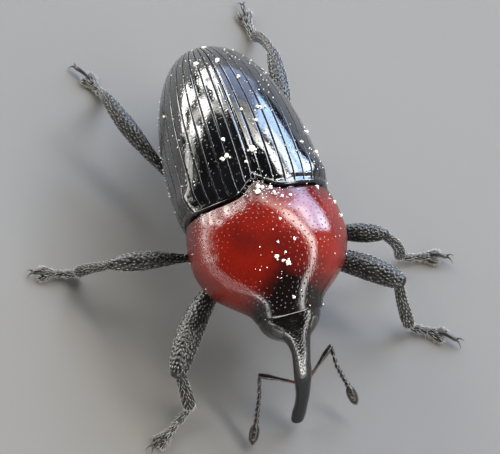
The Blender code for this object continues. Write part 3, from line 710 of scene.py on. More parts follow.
def trunk_rings(rows, count):
    """rings of the body under the wing cases"""
    y = rows[:, None]
    x, z = case_point(y, np.linspace(90.0, MARGIN_ANGLE, 24)[None, :], CASE_WALL + 0.05)
    margin = smooth(CASE_MARGIN, y) - 0.02
    outer = case_point(y, np.full((1, 1), MARGIN_ANGLE))[0] - 0.012
    turn = np.radians(np.linspace(0.0, 90.0, count))[None, :]
    under_x = outer * np.abs(np.cos(turn)) ** BELLY_ROUND
    under_z = margin - (margin - smooth(BELLY_BOTTOM, y)) * np.abs(np.sin(turn)) ** BELLY_ROUND
    right = np.concatenate([in_space(x, y, z), in_space(under_x, y, under_z)], 1)
    left = right[:, -2:0:-1] * np.array([-1.0, 1.0, 1.0])
    return wavy_front(np.concatenate([right, left], 1), 0.4, 0.02)


# %% Body: skins
thorax = add_piece("hind_thorax", loft(trunk_rings(np.linspace(0.0, THORAX_END, 90), 46)), dull_shell,
                   "black_cuticle", "pterothorax")
belly = add_piece("belly", loft(trunk_rings(np.linspace(THORAX_END + 0.02, BELLY_END, 110), 46)), dull_shell,
                  "black_cuticle", "abdomen")
points = surface(belly)[0]
seams = sum(hill(points[:, 1], seam, 0.012) for seam in BELLY_SEAMS)
raise_by(belly, -0.022 * seams * (points[:, 2] < 0.95))
print("thorax pits", pitted(thorax, 0.052, 0.019, 0.010, lambda p: p[:, 2] < 1.15),
      "belly pits", pitted(belly, 0.050, 0.015, 0.007, lambda p: p[:, 2] < 1.0))

# %% [markdown]
# The scutellum is a tiny plate between the roots of the wing cases. It is so small that a smooth
# rounded button, sunk between the two cases, is all that shows.

# %% Scutellum: the small plate between the roots of the wing cases
SCUTELLUM_RADII = (0.058, 0.070, 0.075)
scutellum_centre = np.array([0.0, float(base_line(0.0)) + 0.078, float(smooth(CASE_TOP, 0.1)) - 0.050])
add_piece("scutellum_plate", ball(scutellum_centre, SCUTELLUM_RADII, 40, 24), black_shell,
          "black_cuticle", "scutellum")
print("scutellum at", scutellum_centre.round(3))

# %% [markdown]
# ## Head, eyes and snout
# Seen from the side, the brow runs in one sweep into the snout. So this skin is drawn like a
# profile: each row gives a place on the line of the back, one on the line of the throat and the
# width between them. The snout narrows towards its tip, has a groove on each side that the folded
# feeler lies in, and ends in two small jaws.

# %% Head and snout: the profile
# share along, place across, back line (y, z), throat line (y, z), half width, squareness above
FACE = (
    (0.00, 0.000, -1.02, 1.45, -1.02, 1.00, 0.240, 2.0),
    (0.16, 0.000, -1.16, 1.56, -1.12, 0.86, 0.355, 2.2),
    (0.30, 0.000, -1.32, 1.595, -1.24, 0.79, 0.405, 2.6),
    (0.42, 0.000, -1.47, 1.538, -1.36, 0.79, 0.380, 3.0),
    (0.50, 0.002, -1.575, 1.472, -1.44, 0.81, 0.322, 3.2),
    (0.56, 0.006, -1.655, 1.410, -1.50, 0.86, 0.252, 3.1),
    (0.62, 0.010, -1.725, 1.343, -1.56, 0.93, 0.176, 2.9),
    (0.68, 0.012, -1.792, 1.270, -1.63, 0.99, 0.142, 2.6),
    (0.76, 0.008, -1.884, 1.158, -1.71, 0.96, 0.120, 2.4),
    (0.86, -0.008, -1.978, 1.025, -1.79, 0.87, 0.114, 2.2),
    (1.00, -0.022, -2.076, 0.868, -1.88, 0.74, 0.114, 2.0),
    (1.22, -0.056, -2.182, 0.585, -2.02, 0.53, 0.090, 2.0),
    (1.36, -0.096, -2.238, 0.402, -2.08, 0.36, 0.084, 2.0),
    (1.47, -0.132, -2.274, 0.265, -2.12, 0.24, 0.090, 2.0),
    (1.55, -0.160, -2.294, 0.170, -2.16, 0.15, 0.084, 2.0),
)
FACE_END = 1.55
HALF_WIDTH_COLUMN = 6


def face_column(k, share):
    """one column of the profile, read smoothly at shares along it"""
    return smooth([(row[0], row[k]) for row in FACE], share)


def face(share, turn):
    """points of head and snout at shares along it and degrees round it, 90 on the back line"""
    x, back_y, back_z, throat_y, throat_z, half, square = (face_column(k, share) for k in range(1, 8))
    across, rise = powered(turn, 2 / square, 1.0)
    return in_space(x + half * across, (back_y + throat_y) / 2 + (back_y - throat_y) / 2 * rise,
                    (back_z + throat_z) / 2 + (back_z - throat_z) / 2 * rise)


def face_middle(share):
    """the middle of the head or snout at a share along it"""
    return (face(share, 90.0) + face(share, -90.0)) / 2


# %% Head and snout: the skin
FACE_ROWS, FACE_COLUMNS, TIP_DOME = 440, 190, 0.048
face_steps = np.linspace(0.0, FACE_END, FACE_ROWS)
face_turns = np.linspace(-90.0, 270.0, FACE_COLUMNS, endpoint=False)
face_rings = face(face_steps[:, None], face_turns[None, :])
tip = face_rings[-1].mean(0)
tip_way = unit(tip - face_rings[-8].mean(0))
caps = dome(face_rings[-1], tip, tip_way, TIP_DOME)
head = add_piece("head_and_snout", loft(np.concatenate([face_rings, caps])), head_shell,
                 "black_cuticle", "head", "rostrum")
points, normals = surface(head)
share = np.concatenate([np.repeat(face_steps, FACE_COLUMNS), np.full(len(caps) * FACE_COLUMNS, FACE_END),
                        [0.0, FACE_END]])
turn = np.concatenate([np.tile(face_turns, FACE_ROWS + len(caps)), [0.0, 0.0]])
print("head and snout", len(head.data.polygons), "faces")

# %% Head and snout: side grooves and pits
BROW_SQUEEZE = 0.42
below_side = np.minimum(np.abs(turn + 14.0), np.abs(turn - 194.0))
raise_by(head, -0.016 * hill(below_side, 0.0, 12.0) * ease(0.60, 0.70, share) * ease(1.12, 1.04, share))
brow_way = unit(np.array([0.0, -0.82, -0.57]))
squeezed = points - brow_way * ((points @ brow_way) * BROW_SQUEEZE)[:, None]
brow = np.nonzero((share > 0.40) & (share < 0.98) & (points[:, 2] > 0.8))[0]
chosen = brow[scatter(squeezed[brow], 0.0235)]
raise_by(head, pits(nearness(squeezed, squeezed[chosen]), 0.0080, 0.0040) * ease(1.02, 0.94, share))
snout_pits = pitted(head, 0.055, 0.007, 0.0022, lambda p: p[:, 2] < 0.86)
print("brow pits", len(chosen), "snout pits", snout_pits)

# %% [markdown]
# Two small hooked jaws close the tip of the snout. They are short tubes that bend towards each
# other, because at this size only their outline shows.

# %% Jaws at the tip of the snout
tip_side = unit(np.cross(tip_way, [0.0, 1.0, 0.0]))
jaws = []
for sign in (-1.0, 1.0):
    start = tip + tip_side * sign * 0.030 + tip_way * 0.010
    bend = [start + tip_way * ahead + tip_side * sign * aside
            for ahead, aside in ((0.0, 0.0), (0.030, 0.012), (0.055, -0.012))]
    jaws.append(tube(bend, [0.022, 0.020, 0.006], 14, 0.7))
add_piece("jaws", join(jaws), claw_shell, "black_cuticle")
print("jaws at", tip.round(3))

# %% [markdown]
# An eye is a low satin dome that lies flush in the side of the head, longer than it is tall. It is
# a ball sunk almost to its middle, its long axis laid along the head. The head's own skin gives
# way beneath it and keeps a fine dark line round it.

# %% Eyes
EYE_SHARE, EYE_TURN, EYE_SUNK = 0.54, 36.0, 0.030
EYE_RADII = (0.042, 0.088, 0.098)
for side, sign in SIDES.items():
    at = EYE_TURN if side == "left" else 180.0 - EYE_TURN
    along = unit(face(EYE_SHARE + 0.01, at) - face(EYE_SHARE - 0.01, at))
    tall = face(EYE_SHARE, at + 2.0) - face(EYE_SHARE, at - 2.0)
    tall = unit(tall - along * tall.dot(along))
    out = np.cross(along, tall)
    out = out * sign * np.sign(out[0])
    centre = face(EYE_SHARE, at) - out * EYE_SUNK
    eye_axes = np.array([out, tall, along])
    add_piece("eye_" + side + "_lens", ball(centre, EYE_RADII, 64, 40, eye_axes), eye_shell,
              "eye", "eye_" + side)
    points = surface(head)[0]
    reach = np.linalg.norm((points - centre) @ eye_axes.T / EYE_RADII, axis=1)
    socket = -0.018 * np.clip((1.0 - reach) / 0.2, 0.0, 1.0) - 0.007 * hill(reach, 1.05, 0.05)
    raise_by(head, socket * ((points - centre) @ out > 0.0))
    print("eye", side, centre.round(3))

# %% [markdown]
# ## Bristles
# The legs carry a short pale bristle in every pit. Particle hair is lost in an export, so each
# bristle is a thin three-sided spike of real mesh. All of one leg are one piece, and each takes a
# tiny patch on a map laid out like the leg's own skin, so that a baked picture keeps its colour.

# %% Bristle maker
PATCH = 0.0015
SPIKE_FACES = [(0, 1, 4, 3), (1, 2, 5, 4), (2, 0, 3, 5), (3, 4, 6), (4, 5, 6), (5, 3, 6), (2, 1, 0)]
SPIKE_ON_MAP = np.array([(-1, -1), (-1, 0), (-1, 1), (0, -1), (0, 0), (0, 1), (1, 0)]) * PATCH
THREE_SIDES = [(math.cos(math.radians(turn)), math.sin(math.radians(turn))) for turn in (90, 210, 330)]


def bristle_piece(name, tufts, material, slot):
    """one piece of many spikes, from tufts of roots, ways, normals, lengths, widths and map places"""
    roots, ways, normals, lengths, widths, places = (np.concatenate(part) for part in zip(*tufts))
    ways, normals, lengths, widths = unit(ways), unit(normals), lengths[:, None], widths[:, None]
    side = unit(np.cross(ways, normals))
    lift = np.cross(side, ways)
    spike = [roots + ways * lengths * reach + (side * c + lift * s) * widths * thick * 0.5
             for reach, thick in ((-0.08, 1.0), (0.5, 0.8)) for c, s in THREE_SIDES]
    spike.append(roots + ways * lengths - normals * lengths * 0.06)
    points = np.stack(spike, 1)
    points[..., 2] = np.maximum(points[..., 2], 0.001)
    faces = [[7 * k + i for i in corners] for k in range(len(roots)) for corners in SPIKE_FACES]
    thing = add_piece(name, (points.reshape(-1, 3), faces), material, slot)
    on_map = (places[:, None, :] + SPIKE_ON_MAP[None]).reshape(-1, 2)
    layer = thing.data.uv_layers.new(name="OFBake")
    layer.data.foreach_set("uv", on_map[numbers(thing.data.loops, "vertex_index")].ravel())
    return len(roots)


# %% [markdown]
# ## Legs
# Each leg is a hip, a club-shaped thigh, a slightly bent shin that widens downwards, three short
# toes of which the last has two padded lobes, and a slender end joint with two claws. The thighs
# are covered by a net of raised lines with a pit in each mesh. The joints stand where the photo
# has them, and each part between two joints is one bent tube.

# %% Legs: sizes, the same as the solids'
# knee, ankle, bow of the thigh, bend of the shin, then lobes and claws on the floor
LEGS = {
    "front_right": ((-1.49, -1.56, 0.87), (-1.40, -1.68, 0.13), 0.06, -0.02, (-1.82, -1.97), (-2.05, -2.09)),
    "front_left": ((1.505, -1.165, 0.94), (1.57, -1.38, 0.13), 0.03, -0.02, (1.885, -1.55), (2.16, -1.79)),
    "middle_right": ((-1.88, 0.19, 0.79), (-2.26, 0.57, 0.13), 0.0, 0.05, (-2.645, 0.71), (-2.905, 0.785)),
    "middle_left": ((1.53, -0.465, 0.94), (1.765, -0.395, 0.13), 0.0, 0.07, (2.15, -0.47), (2.44, -0.59)),
    "hind_right": ((-1.325, 2.57, 0.90), (-1.256, 3.07, 0.13), 0.04, 0.05, (-1.37, 3.41), (-1.57, 3.75)),
    "hind_left": ((0.98, 2.73, 0.76), (0.93, 3.41, 0.13), 0.02, 0.09, (0.91, 3.78), (0.93, 4.08)),
}
HIPS = {"front": (0.34, -0.31, 0.67), "middle": (0.42, 0.14, 0.67), "hind": (0.56, 1.22, 0.69)}
THIGH_ROOTS = {"front": (0.24, 0.03, -0.06), "middle": (0.15, -0.13, -0.06), "hind": (0.21, -0.02, -0.07)}
HIP_RADII = {"front": (0.19, 0.19, 0.19), "middle": (0.17, 0.17, 0.17), "hind": (0.26, 0.15, 0.15)}
THIGH_THICKNESS = {"front": 0.160, "middle": 0.122, "hind": 0.115}
THIGH_RADII = {
    "front": ((0.0, 0.44), (0.12, 0.56), (0.3, 0.84), (0.6, 1.0), (0.82, 0.90), (0.95, 0.72), (1.0, 0.52)),
    "middle": ((0.0, 0.44), (0.3, 0.46), (0.46, 0.72), (0.6, 0.93), (0.74, 1.0), (0.88, 0.84),
               (0.96, 0.64), (1.0, 0.48)),
    "hind": ((0.0, 0.44), (0.14, 0.48), (0.36, 0.74), (0.6, 1.0), (0.8, 0.90), (0.95, 0.68), (1.0, 0.48)),
}
SHIN_RADII = ((0.0, 0.048), (0.16, 0.056), (0.5, 0.065), (0.82, 0.072), (0.94, 0.070), (1.0, 0.056))
SHIN_THICKNESS = {"front": 1.13, "middle": 1.0, "hind": 1.0}
THIGH_BOW = 0.05
UP = np.array([0.0, 0.0, 1.0])

# %% Legs: places along a bent part


def bowed(start, stop, bow, count):
    """points from one joint to the next, with the middle moved by the bow"""
    t = np.linspace(0.0, 1.0, count)[:, None]
    return start + (stop - start) * t + bow * np.sin(math.pi * t)


def outward(start, stop):
    """the level direction square to a leg's part that points away from the body"""
    side = unit(np.array([stop[1] - start[1], start[0] - stop[0], 0.0]))
    return side if side[0] * stop[0] > 0 else -side


def along_path(points, path):
    """for each point: how far along a path it lies, its angle round it and the way of the path"""
    ahead, across, up = path_axes(path)
    tree = search_tree(path)
    index = np.array([tree.find(point)[1] for point in points])
    off = points - path[index]
    angle = np.arctan2((off * up[index]).sum(1), (off * across[index]).sum(1))
    return index / (len(path) - 1), angle / (2 * math.pi) + 0.5, ahead[index]


# %% [markdown]
# The net of a thigh is made as the pits are, but wider: each point rises with its distance from
# the nearest centre, so the lines midway between centres stand up. The centres are scattered in a
# squeezed copy of the points, which stretches every mesh along the leg.

# %% Legs: net of pits, and bristles in them
STRIPS = 5
coat = {name: [] for name in LEGS}


def grow(leg, roots, ways, normals, length, width, places, stir=0.12, longest=1.2):
    """keep a tuft of bristles for one leg, with a little chance in their ways and sizes"""
    count = len(roots)
    ways = ways + draw.normal(0, stir, (count, 3))
    lengths, widths = length * draw.uniform(0.75, longest, count), width * draw.uniform(0.8, 1.2, count)
    coat[leg].append((roots, ways, normals, lengths, widths, places))


def fringe(leg, strip, roots, ways, normals, length, width):
    """more bristles for one leg, in rows where they stand close"""
    along = np.linspace(0.05, 0.95, len(roots))
    grow(leg, roots, ways, normals, length, width, in_space(along, (strip + 0.5) / STRIPS, 0.0)[:, :2])


def netted(thing, leg, strip, path, spacing, depth, stretch=0.80, length=0.034, width=0.0115):
    """cover a leg's part with a net of pits stretched along it, and root a bristle in each"""
    points, normals = surface(thing)
    share, angle, ahead = along_path(points, path)
    mean_way = unit(ahead.mean(0))
    squeezed = points - mean_way * ((points @ mean_way) * (1 - stretch))[:, None]
    chosen = scatter(squeezed, spacing)
    cell = np.clip(nearness(squeezed, squeezed[chosen]) / (0.56 * spacing), 0.0, 1.0)
    raise_by(thing, -depth * (1.0 - cell ** 2) + 0.25 * depth * cell ** 6)
    shown = chosen[(share[chosen] > 0.02) & (share[chosen] < 0.985)]
    places = np.stack([0.02 + 0.96 * share[shown], (strip + 0.05 + 0.9 * angle[shown]) / STRIPS], -1)
    grow(leg, points[shown] - normals[shown] * depth * 0.5, ahead[shown] + normals[shown] * 0.30,
         normals[shown], length, width, places, 0.10, 1.25)
    return len(chosen)


# %% Legs: hip and thigh


def hip_and_thigh(name):
    """the two upper parts of a leg; gives the thigh's root, the shin's top and the pits"""
    pair, side = name.split("_")
    knee, ankle = np.array(LEGS[name][0]), np.array(LEGS[name][1])
    mirror = np.array([SIDES[side], 1.0, 1.0])
    hip = HIPS[pair] * mirror
    thing = add_piece("hip_" + name, ball(hip, HIP_RADII[pair], 60, 34), dull_shell,
                      "leg_cuticle", "coxa_" + name)
    pitted(thing, 0.045, 0.015, 0.007, lambda p: p[:, 2] < 0.75)
    root = hip + THIGH_ROOTS[pair] * mirror
    bow = outward(root, knee) * LEGS[name][2] + UP * THIGH_BOW
    path = bowed(root, knee, bow, 170)
    width = THIGH_THICKNESS[pair] * smooth(THIGH_RADII[pair], np.linspace(0, 1, 170))
    shape = tube(path, width, 108, 0.92)
    if pair == "front":
        way = unit(knee - root)
        down = unit(ankle - knee - way * (ankle - knee).dot(way))
        tooth = path[78] + down * width[78] * 0.86
        spine = [tooth, tooth + down * 0.030, tooth + down * 0.058 + way * 0.012]
        shape = join([shape, tube(spine, [0.034, 0.018, 0.005], 18)])
    thing = add_piece("thigh_" + name, shape, leg_shell, "leg_cuticle", "femur_" + name)
    count = netted(thing, name, 0, path, 0.040, 0.0085)
    return root, knee - unit(knee - bowed(root, knee, bow, 13)[-3]) * 0.05, count


# %% Legs: shin


def shin_below(name, root, top):
    """the shin of a leg, with a ring of bristles at its end; gives its path and its pits"""
    pair, ankle = name.split("_")[0], np.array(LEGS[name][1])
    path = bowed(top, ankle, unit((ankle - root) * (1, 1, 0)) * LEGS[name][3], 110)
    radii = SHIN_THICKNESS[pair] * smooth(SHIN_RADII, np.linspace(0, 1, 110))
    thing = add_piece("shin_" + name, tube(path, radii, 66, 1.0, (0.6, 0.25)), leg_shell,
                      "leg_cuticle", "tibia_" + name)
    count = netted(thing, name, 1, path, 0.032, 0.0062, 0.66, 0.042, 0.010)
    around = np.linspace(0, 2 * math.pi, 26, endpoint=False)[:, None]
    ahead, across, up = path_axes(path)
    out = across[-1] * np.cos(around) + up[-1] * np.sin(around)
    fringe(name, 2, path[-4] + out * radii[-4] * 0.97, ahead[-1] + out * 0.35, out, 0.055, 0.010)
    return path, count


# %% [markdown]
# A foot is a row of small cones: each toe is narrow at its root and wide at its end. The third is
# split into two lobes with a brush of pale hair below, which is what lets the beetle walk on
# smooth leaves. The end joint rises from between the lobes. Each part is again a tube or a ball,
# and whatever would reach below the floor is pressed flat on it.

# %% Legs: toes and lobes
TOES = ((0.0, 0.42, 0.026, 0.052), (0.40, 0.68, 0.028, 0.050), (0.66, 0.98, 0.032, 0.066))
TOE_HEIGHT = 0.045
LOBE_RADII = (0.046, 0.040, 0.085)
LOBE_SPREAD = 0.046


def toes_of(name, shin):
    """three toes with lobes and brushes; gives the lobes' place and the foot's directions"""
    start = shin[-1] * (1, 1, 0) + UP * (TOE_HEIGHT + 0.03)
    lobe = np.array([*LEGS[name][4], TOE_HEIGHT])
    ahead = unit(np.array([*LEGS[name][5], TOE_HEIGHT]) - lobe)
    across = np.array([-ahead[1], ahead[0], 0.0])
    toes = []
    for first, last, narrow, wide in TOES:
        path = start + (lobe - start) * np.linspace(first, last, 12)[:, None]
        cone = ((0, narrow), (0.55, 0.86 * wide), (0.9, wide), (1, 0.8 * wide))
        toes.append(tube(path, smooth(cone, np.linspace(0, 1, 12)), 24, 0.85, (0.5, 0.3)))
    for turn in (-1.0, 1.0):
        way = unit(ahead + across * turn * 0.35)
        centre = lobe + across * turn * LOBE_SPREAD + ahead * 0.03
        toes.append(ball(centre, LOBE_RADII, 26, 16, np.array([np.cross(UP, way), UP, way])))
    points, faces = join(toes)
    points[:, 2] = np.maximum(points[:, 2], 0.0)
    thing = add_piece("foot_" + name, (points, faces), leg_shell, "leg_cuticle", "tarsus_" + name)
    points, normals = surface(thing)
    top = np.nonzero(points[:, 2] > 0.035)[0]
    chosen = top[scatter(points[top], 0.026)]
    fringe(name, 3, points[chosen], ahead + normals[chosen] * 0.55, normals[chosen], 0.055, 0.008)
    low = (points[:, 2] > 0.004) & (points[:, 2] < 0.040)
    in_lobe = (np.abs((points - lobe) @ ahead) < 0.14) & (np.abs((points - lobe) @ across) > 0.045)
    brush = np.nonzero(low & in_lobe)[0]
    chosen = brush[scatter(points[brush], 0.013)]
    out = normals[chosen] * (1, 1, 0.2)
    fringe(name, 4, points[chosen], out + ahead * 0.35 - UP * 0.12, UP + np.zeros_like(out), 0.046, 0.010)
    return lobe, ahead, across


# %% Legs: end joint and claws
CLAW_HOOK = 0.10
STALK_RADII = ((0, 0.017), (0.6, 0.026), (0.9, 0.029), (1, 0.024))


def claws_of(name, lobe, ahead, across):
    """the slender end joint that rises from between the lobes, and its two hooks"""
    first = lobe + ahead * 0.03 + UP * 0.055
    last = np.array([*LEGS[name][5], 0.03]) - ahead * CLAW_HOOK + UP * 0.045
    parts = [tube(bowed(first, last, UP * 0.02, 26), smooth(STALK_RADII, np.linspace(0, 1, 26)), 24)]
    t = np.linspace(0, 1, 16)
    radii = 0.014 * (1.0 - 0.75 * t) * (1 + 0.3 * np.cos(math.pi * t))
    t = t[:, None]
    for turn in (-1.0, 1.0):
        hook = last - ahead * 0.01 + (ahead + across * turn * 0.55) * CLAW_HOOK * t \
            + UP * (0.035 * np.sin(math.pi * t) - 0.060 * t * t)
        parts.append(tube(hook, radii, 14))
    add_piece("claw_" + name, join(parts), claw_shell, "leg_cuticle", "claws_" + name)


for name in LEGS:
    root, top, thigh_pits = hip_and_thigh(name)
    shin, shin_pits = shin_below(name, root, top)
    claws_of(name, *toes_of(name, shin))
    count = bristle_piece("bristles_" + name, coat[name], bristle_pale, "leg_cuticle")
    print(name, thigh_pits + shin_pits, "pits,", count, "bristles")


# %% [markdown]
# ## Feelers
# A feeler has a long shaft, an elbow, seven beads and a club of three closely joined segments
# with a felt of fine hair. Shaft, beads and club are tubes along a line through four measured
# places, and the same bristle maker grows the felt.

# %% Feelers: sizes
# elbow, bend in the row of beads, root of the club, tip
FEELERS = {
    "right": ((-0.517, -1.79, 0.71), (-0.572, -1.957, 0.50), (-0.690, -2.20, 0.26), (-0.792, -2.385, 0.11)),
    "left": ((0.426, -1.70, 0.80), (0.432, -1.92, 0.68), (0.525, -2.12, 0.45), (0.575, -2.30, 0.27)),
}
FEELER_SHARE = 1.10
SCAPE_RADII = ((0.0, 0.016), (0.12, 0.019), (0.45, 0.021), (0.8, 0.034), (1.0, 0.030))
BEAD_RADII = ((0, 0.50), (0.25, 0.78), (0.65, 1.0), (0.9, 0.90), (1, 0.66))
BEAD_LENGTHS = (1.5, 1.15, 0.95, 0.9, 0.85, 0.8, 0.85)
BEAD_RADIUS = 0.029
CLUB_RADII = ((0, 0.42), (0.18, 0.86), (0.36, 1.0), (0.6, 0.98), (0.8, 0.80), (1, 0.30))
CLUB_RADIUS = 0.056
FELT_WIDTH = 0.0065

# %% Feelers: hair and colour


def paint(thing, value):
    """store for each point how far from the snout it lies, for the finish to read"""
    layer = thing.data.attributes.new("from_root", "FLOAT", "POINT")
    layer.data.foreach_set("value", np.broadcast_to(value, len(thing.data.vertices)).astype(np.float32))


def felt(thing, way, spacing, length, base):
    """a tuft of fine hairs all over a piece, lying along a way"""
    points, normals = surface(thing)
    chosen = scatter(points, spacing)
    roots, out = points[chosen], normals[chosen]
    share = (roots @ way - (points @ way).min()) / np.ptp(points @ way)
    turn = np.arctan2(out[:, 2], out[:, 0]) / (2 * math.pi) + 0.5
    return (roots, way + out * 0.55, out, length * draw.uniform(0.8, 1.2, len(chosen)),
            np.full(len(chosen), FELT_WIDTH), np.stack([0.02 + 0.96 * share, base + 0.01 + 0.31 * turn], -1))


# %% Feelers: shaft, beads and club


def feeler_shaft(side, elbow):
    """the shaft from the snout's side to the elbow; gives the piece and its root"""
    centre = face_middle(FEELER_SHARE)
    ahead = unit(face_middle(FEELER_SHARE + 0.02) - face_middle(FEELER_SHARE - 0.02))
    out = elbow - centre
    out = unit(out - ahead * out.dot(ahead))
    start = centre + out * (float(face_column(HALF_WIDTH_COLUMN, FEELER_SHARE)) - 0.015)
    path = bowed(start, elbow, UP * 0.012, 50)
    thing = add_piece("shaft_" + side, tube(path, smooth(SCAPE_RADII, np.linspace(0, 1, 50)), 26),
                      feeler_shell, "feeler_cuticle", "scape_" + side)
    paint(thing, along_path(surface(thing)[0], path)[0])
    return thing, start


def feeler_beads(side, elbow, bend, club):
    """seven beads along a softly bent line"""
    line = [elbow + unit(bend - elbow) * 0.012, bend, club]
    marks = np.cumsum([0.0, np.linalg.norm(line[1] - line[0]), np.linalg.norm(line[2] - line[1])])
    steps = np.linspace(0, marks[2], 400)
    route = np.stack([np.interp(steps, marks, [p[axis] for p in line]) for axis in range(3)], -1)
    padded = np.pad(route, ((14, 14), (0, 0)), mode="edge")
    route = np.stack([np.convolve(padded[:, axis], np.ones(29) / 29, "valid") for axis in range(3)], -1)
    ends = np.concatenate([[0], np.cumsum(BEAD_LENGTHS)]) / sum(BEAD_LENGTHS)
    beads = []
    for k in range(len(BEAD_LENGTHS)):
        pick = (np.linspace(ends[k], ends[k + 1] - 0.012, 16) * 399).astype(int)
        radii = BEAD_RADIUS * (0.88 + 0.05 * k) * smooth(BEAD_RADII, np.linspace(0, 1, 16))
        beads.append(tube(route[pick] + np.linspace(0, 1e-4, 16)[:, None], radii, 22))
    thing = add_piece("beads_" + side, join(beads), feeler_shell, "feeler_cuticle", "funicle_" + side)
    paint(thing, 1.0)
    return thing


def feeler_club(side, club, tip):
    """the club, with a shallow ring between its segments"""
    path = club + (tip - club) * np.linspace(0.01, 0.97, 60)[:, None]
    steps = np.linspace(0, 1, 60)
    radii = CLUB_RADIUS * smooth(CLUB_RADII, steps)
    for seam in (0.40, 0.66):
        radii = radii * (1 - 0.09 * hill(steps, seam, 0.025))
    thing = add_piece("tip_club_" + side, tube(path, radii, 44), feeler_shell,
                      "feeler_cuticle", "club_" + side)
    paint(thing, 1.0)
    return thing


for side in SIDES:
    elbow, bend, club, tip = (np.array(place) for place in FEELERS[side])
    shaft, start = feeler_shaft(side, elbow)
    beads, end = feeler_beads(side, elbow, bend, club), feeler_club(side, club, tip)
    hairs = [felt(shaft, unit(elbow - start), 0.045, 0.030, 0.0),
             felt(beads, unit(club - elbow), 0.042, 0.024, 0.33),
             felt(end, unit(tip - club), 0.014, 0.024, 0.66)]
    print("feeler", side, bristle_piece("felt_" + side, hairs, felt_brown, "feeler_cuticle"), "hairs")


# %% [markdown]
# ## Dust
# The beetle in the photo is sprinkled with pale grains, single or in small heaps. Each is a small
# rough ball that sits on the skin below it. The larger ones have measured places, and a few
# crumbs lie round them. Strewing the finer grains by chance is quicker and looks the same.

# %% Dust: where the grains lie
# place across, place along, size
GRAINS = (
    (-0.02, -0.08, 0.058), (0.01, 0.00, 0.050), (0.058, -0.03, 0.052), (0.15, -0.05, 0.046),
    (0.17, -0.13, 0.050), (0.25, -0.21, 0.040), (0.35, -0.21, 0.036), (0.13, -0.52, 0.036),
    (0.02, -0.79, 0.026), (0.23, -0.80, 0.034), (0.08, -0.92, 0.026), (-0.04, -0.94, 0.056),
    (0.03, -1.00, 0.036), (0.08, -1.03, 0.056), (-0.06, -1.15, 0.034), (0.05, -1.37, 0.038),
    (0.73, -0.08, 0.044), (0.90, -0.24, 0.036), (0.92, -0.44, 0.038), (-0.23, 0.50, 0.062),
    (0.08, 0.49, 0.074), (-0.30, 0.47, 0.044), (-0.22, 0.73, 0.040), (0.31, 0.67, 0.036),
    (-0.04, 0.36, 0.034), (0.23, 0.89, 0.044), (0.32, 1.09, 0.038), (0.36, 1.09, 0.034), (0.42, 1.09, 0.036),
    (0.12, 1.09, 0.036), (0.24, 1.66, 0.052), (0.07, 2.09, 0.056), (-0.19, 2.15, 0.052), (0.05, 2.66, 0.040),
    (-0.75, 1.61, 0.036), (0.89, 0.50, 0.044), (0.87, 0.83, 0.040), (0.74, 0.57, 0.036),
)
# place across, place along, reach, number of fine grains
HEAPS = ((0.02, 0.06, 0.11, 46), (0.20, -0.12, 0.13, 26), (0.74, 0.40, 0.16, 22), (0.88, -0.05, 0.10, 12),
         (0.55, 1.3, 0.45, 60), (0.30, 2.3, 0.40, 50), (-0.45, 1.5, 0.60, 50), (-0.75, 0.9, 0.35, 26),
         (0.0, -0.45, 0.55, 30), (0.05, -1.1, 0.22, 12))

# %% Dust: rough balls on the skin below
tops = [surface(pieces[name]) for name in ("shield", "wing_case_left", "wing_case_right")]
skin_points, skin_normals = (np.concatenate(part) for part in zip(*tops))
on_top = skin_normals[:, 2] > 0.05
skin_points, skin_normals = skin_points[on_top], skin_normals[on_top]
skin_tree = search_tree(skin_points * (1, 1, 0))


def crumb(x, y, size, sides, rows):
    """a rough ball on the skin, seen from above at x and y"""
    index = skin_tree.find((x, y, 0.0))[1]
    centre = skin_points[index] + skin_normals[index] * size * 0.30
    points, faces = ball(centre, size * 0.5 * draw.uniform(0.75, 1.15, 3), sides, rows)
    return centre + (points - centre) * draw.uniform(0.78, 1.18, (len(points), 1)), faces


dust = []
for x, y, size in GRAINS:
    dust.append(crumb(x, y, size, 14, 8))
    for _ in range(int(draw.integers(1, 4))):
        turn, reach = draw.uniform(0, 2 * math.pi), size * draw.uniform(0.45, 0.8)
        small = size * draw.uniform(0.25, 0.45)
        dust.append(crumb(x + reach * math.cos(turn), y + reach * math.sin(turn), small, 10, 6))
for x, y, reach, count in HEAPS:
    for dx, dy, size in zip(draw.normal(0, reach, count), draw.normal(0, reach, count),
                            draw.uniform(0.009, 0.020, count)):
        dust.append(crumb(x + dx, y + dy, size, 6, 3))
add_piece("dust", join(dust), dust_pale, "red_cuticle")
print("grains of dust", len(dust))

# %% [markdown]
# ## Floor, light and camera
# The photo was taken under open sky with something dark overhead: the shells mirror bright bands
# low down and black above. A sky of soft bands and windows gives these long clear reflections,
# which no single lamp would. Every patch has its place in degrees, round from behind the beetle
# and up from the level, so it stays where it is when the camera moves.

# %% Floor
REACH = 0.25
floor_mesh = bpy.data.meshes.new("floor")
floor_mesh.from_pydata([(-REACH, -REACH, 0), (REACH, -REACH, 0), (REACH, REACH, 0), (-REACH, REACH, 0)],
                       [], [(0, 1, 2, 3)])
floor = bpy.data.objects.new("floor", floor_mesh)
bpy.context.scene.collection.objects.link(floor)
floor.data.materials.append(new_finish("floor_finish", (0.175, 0.168, 0.160), 0.8)[0])
floor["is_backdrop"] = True
print("floor", 2 * REACH, "metres wide")

# %% Light: directions and soft edges in the sky
world = bpy.data.worlds.new("soft_sky")
bpy.context.scene.world = world
world.use_nodes = True
sky = world.node_tree
direction = sky.nodes.new("ShaderNodeTexCoord").outputs["Generated"]


def times(first, second):
    return compute(sky, "MULTIPLY", first, second)


def plus(first, second):
    return compute(sky, "ADD", first, second)


def minus(first, second):
    return compute(sky, "SUBTRACT", first, second)


def step_up(value, low, high):
    """0 below low, 1 above high, soft between"""
    return spread(sky, value, low, high, soft="SMOOTHSTEP")


